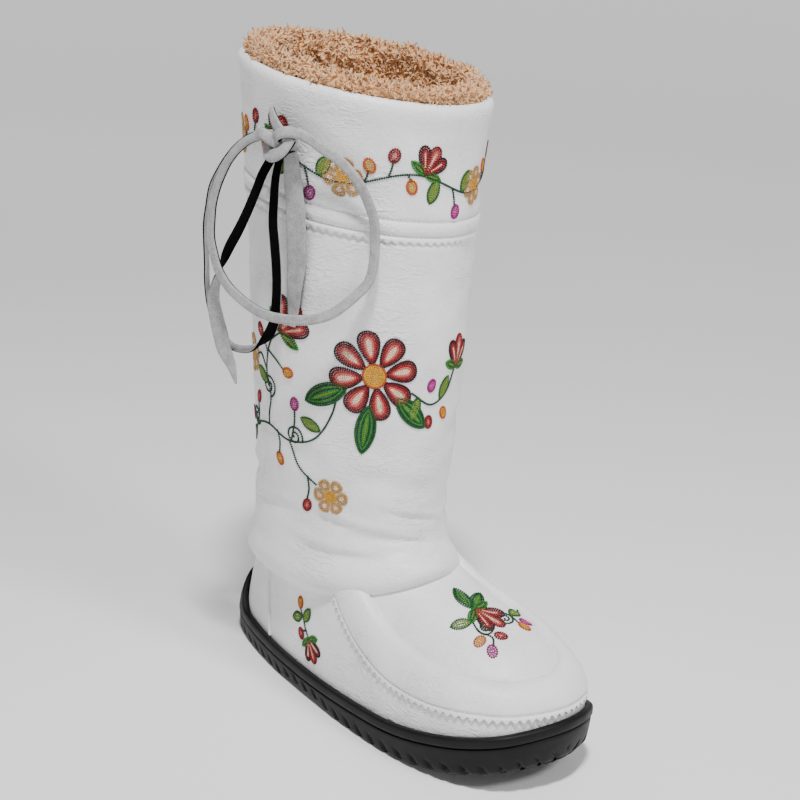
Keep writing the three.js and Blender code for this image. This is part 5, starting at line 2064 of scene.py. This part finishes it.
@dataclass
class Beading:
    """Sews the beadwork's patterns onto the boot."""

    last: Last
    shaft: Shaft
    cuff: Cuff
    foot: Foot
    beads: Material
    bead_size: Triple = (1.42 * MM, 1.6 * MM, 1.05 * MM)
    stand_share: float = 0.28
    shade_low: float = 0.85
    shade_spread: float = 0.3
    seed: int = 5
    degrees_per_mm: float = MM / ARC_PER_DEGREE
    shaft_sides: tuple[Place, Place] = ((0, -4), (216, 2))
    cuff_lengths: int = 5
    cuff_middle: float = 329.0
    vamp_place: Place = (67.0, 7.0)
    vamp_turn: float = 3.0
    quarter_place: Place = (-29.0, 43.0)

    def build(self) -> None:
        """Makes each field of beads."""
        shaft_work = Beadwork()
        for shift, rise in self.shaft_sides:
            shaft_pattern(shaft_work, shift, rise)
        self.sew("shaft_beadwork", shaft_work, self.on_shaft)
        cuff_work = Beadwork()
        length = 360 / self.degrees_per_mm / self.cuff_lengths
        for k in range(self.cuff_lengths):
            cuff_pattern(cuff_work, k * length, length, self.cuff_middle)
        self.sew("cuff_beadwork", cuff_work, self.on_cuff)
        vamp_work = Beadwork()
        vamp_pattern(vamp_work)
        self.sew("vamp_beadwork", vamp_work, self.on_vamp)
        for side, name in ((-1, "quarter_beadwork_lateral"), (1, "quarter_beadwork_medial")):
            quarter_work = Beadwork()
            quarter_pattern(quarter_work)
            self.sew(name, quarter_work, lambda flat, side=side: self.on_quarter(flat, side))

    def on_shaft(self, flat: Array) -> tuple[Array, Array]:
        """Returns the places and facings of pattern points on the shaft."""
        around, up = flat[:, 0] * self.degrees_per_mm, flat[:, 1] * MM / self.last.sizes.height
        place = self.shaft.skin(around, up)
        return place, unit(self.shaft.skin(around, up, 1 * MM) - place)

    def on_cuff(self, flat: Array) -> tuple[Array, Array]:
        """Returns the places and facings of pattern points on the cuff."""
        around, level = flat[:, 0] * self.degrees_per_mm, flat[:, 1] * MM
        section = curve_through(self.cuff.section()[CUFF_OUTSIDE], False, 4)
        out = np.interp(level, section[:, 0], section[:, 1])
        place = self.cuff.surface(around, level, out)
        return place, unit(self.cuff.surface(around, level, out + 1 * MM) - place)

    def cast(self, target: Thing, origins: Array, way: Vector) -> tuple[Array, Array]:
        """Drops points onto a piece.

        Args:
            target: the piece.
            origins: where they drop from.
            way: the direction that they drop in.

        Returns:
            Where each lands and which way the piece faces there; a miss is not a number.
        """
        skin = BVHTree.FromObject(target, bpy.context.evaluated_depsgraph_get())
        hits = [skin.ray_cast(Vector(origin), way) for origin in origins]
        place = np.array([hit[0] or (math.nan,) * 3 for hit in hits])
        return place, np.array([hit[1] or (0, 0, 1) for hit in hits])

    def on_vamp(self, flat: Array) -> tuple[Array, Array]:
        """Returns the places and facings of pattern points on the vamp's plug."""
        cos, sin = reached((0, 0), self.vamp_turn, 1)
        spun = flat @ np.array([[cos, sin], [-sin, cos]]) + np.array(self.vamp_place)
        origins = np.column_stack([spun, np.full(len(flat), 160.0)]) * MM
        return self.cast(self.foot.vamp, origins, Vector((0, 0, -1)))

    def on_quarter(self, flat: Array, side: int) -> tuple[Array, Array]:
        """Returns the places and facings of pattern points on a quarter."""
        x, z = (flat + np.array(self.quarter_place)).T
        origins = np.column_stack([x, np.full(len(flat), side * 120.0), z]) * MM
        return self.cast(self.foot.quarters, origins, Vector((0, -side, 0)))

    def sew(self, name: str, work: Beadwork, lay: Callable[[Array], tuple[Array, Array]]) -> None:
        """Sews one field of beads.

        Args:
            name: the piece's name.
            work: the pattern.
            lay: what lays pattern points on the boot.
        """
        flat = np.array([bead[:2] for bead in work.beads])
        ways = np.array([bead[2:4] for bead in work.beads])
        dyes = np.array([(*bead[4].value, 1.0) for bead in work.beads])
        place, facing = lay(flat)
        ahead_place, _ = lay(flat + ways)
        landed = ~np.isnan(place + ahead_place).any(axis=1)
        place, facing, dyes = place[landed], facing[landed], dyes[landed]
        ahead = unit(ahead_place[landed] - place)
        shades = np.random.default_rng(self.seed).random(len(dyes))
        dyes[:, :3] *= (self.shade_low + self.shade_spread * shades)[:, None]
        middle = place + facing * self.stand_share * self.bead_size[2]
        mesh = marked_points(name, middle, ahead, facing, dyes)
        thing = piece(name, mesh, [self.beads])
        copies(name, self.bead_size, self.beads).grow(thing)
        LOG.info("%s: %d beads", name, len(flat))


# The studio


@dataclass(frozen=True)
class Studio:
    """The camera, the pale floor and the soft lights."""

    azimuth: float = 48.0
    elevation: float = 17.0
    distance: float = 0.77
    roll: float = 4.2
    lens: float = 58.5
    shift_y: float = 0.0156
    target: Triple = (-0.0085, 0.0, 0.18)
    backdrop: tuple = ((0.0, 0.0), (5.0, 0.0), (7.0, 0.15), (8.5, 0.7), (9.3, 1.6), (9.6, 3.2))
    lamps: tuple = (
        ("key", (1.35, 0.25, 1.5), 0.45, 15.0),
        ("fill", (0.2, -1.9, 0.7), 1.2, 1.6),
        ("top", (0.5, -0.5, 1.95), 0.25, 46.0),
        ("back", (-0.9, 1.4, 1.3), 1.0, 3.0),
    )
    glow: float = 0.5
    glow_from: float = 0.3
    glow_full: float = 3.0
    sky: float = 0.15

    def build(self) -> None:
        """Sets the whole studio."""
        self.add_camera()
        self.add_floor()
        self.add_lamps()

    def add_camera(self) -> None:
        """Puts the camera where the photograph was taken from."""
        a, e, r = (math.radians(value) for value in (self.azimuth, self.elevation, self.roll))
        back = Vector((math.sin(a) * math.cos(e), -math.cos(a) * math.cos(e), math.sin(e)))
        level = Vector((math.cos(a), math.sin(a), 0))
        up = back.cross(level)
        right = level * math.cos(r) + up * math.sin(r)
        upright = up * math.cos(r) - level * math.sin(r)
        data = bpy.data.cameras.new("camera")
        data.lens = self.lens
        data.shift_y = self.shift_y
        camera = bpy.data.objects.new("camera", data)
        turn = Matrix((right, upright, back)).transposed().to_4x4()
        camera.matrix_world = Matrix.Translation(Vector(self.target) + back * self.distance) @ turn
        bpy.context.scene.collection.objects.link(camera)
        bpy.context.scene.camera = camera

    def add_floor(self) -> None:
        """Lays the pale floor, which curves up all round, and sets the room's light."""
        turn = np.radians(all_round(64))
        mould = Mould()
        mould.add(np.stack([
            np.column_stack([np.cos(turn) * radius, np.sin(turn) * radius, np.full_like(turn, height)])
            for radius, height in self.backdrop[::-1]
        ]), closed=True)
        mesh = mould.mesh("studio_floor")
        floor = bpy.data.objects.new("studio_floor", mesh)
        bpy.context.scene.collection.objects.link(floor)
        constants = {"Base Color": (0.9, 0.9, 0.9, 1), "Roughness": 0.85, "Emission Strength": self.glow}
        paint = Paint("studio_floor", constants)
        away = paint.node("ShaderNodeVectorMath", {"operation": "LENGTH"}, {0: paint.place}, "Value")
        stops = [(0.0, (0.0, 0.0, 0.0)), (1.0, (1.0, 1.0, 1.0))]
        paint.set("Emission Color", paint.ramp(paint.step(away, self.glow_from, self.glow_full), stops))
        mesh.materials.append(paint.material)
        world = bpy.data.worlds.new("studio")
        world.use_nodes = True
        light = world.node_tree.nodes["Background"].inputs
        light["Color"].default_value = (1, 1, 1, 1)
        light["Strength"].default_value = self.sky
        bpy.context.scene.world = world

    def add_lamps(self) -> None:
        """Hangs the soft lights."""
        aim = Vector(self.target)
        for name, place, size, power in self.lamps:
            data = bpy.data.lights.new(name, "AREA")
            data.shape = "DISK"
            data.size = size
            data.energy = power
            lamp = bpy.data.objects.new(name, data)
            lamp.location = place
            lamp.rotation_euler = (aim - Vector(place)).to_track_quat("-Z", "Y").to_euler()
            bpy.context.scene.collection.objects.link(lamp)


def main() -> None:
    """Builds the boot in order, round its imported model."""
    logging.basicConfig(level=logging.INFO, format="%(message)s")
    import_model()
    Studio().build()
    last = Last(Sizes())
    leather, fleece, thread = Leather().build(), Fleece().build(), Thread().build()
    grey = Suede("grey_suede", (0.23, 0.23, 0.235), (0.42, 0.42, 0.42)).build()
    black = Suede("black_suede", (0.001, 0.001, 0.001), (0.003, 0.003, 0.003), 0.02).build()
    tan = Suede("tan_edge", (0.16, 0.08, 0.03), (0.34, 0.2, 0.09)).build()
    Lace(grey, black).build()
    Sole(last, Rubber().build(), fleece).build()
    # A darker grey for the vamp's cut edge: partly its raw tone, partly painted shade under the pinked
    # edge.
    cut_edge_painted_shade = Suede("cut_edge_painted_shade", (0.2, 0.2, 0.21), (0.4, 0.4, 0.41)).build()
    foot = Foot(last, leather, fleece, thread, cut_edge_painted_shade)
    foot.build()
    shaft = Shaft(last, leather, fleece)
    shaft.build()
    cuff = Cuff(last, leather, thread, tan)
    cuff.build()
    Wool(last, fleece).build()
    Beading(last, shaft, cuff, foot, SeedBeads().build()).build()


if __name__ == "__main__":
    main()
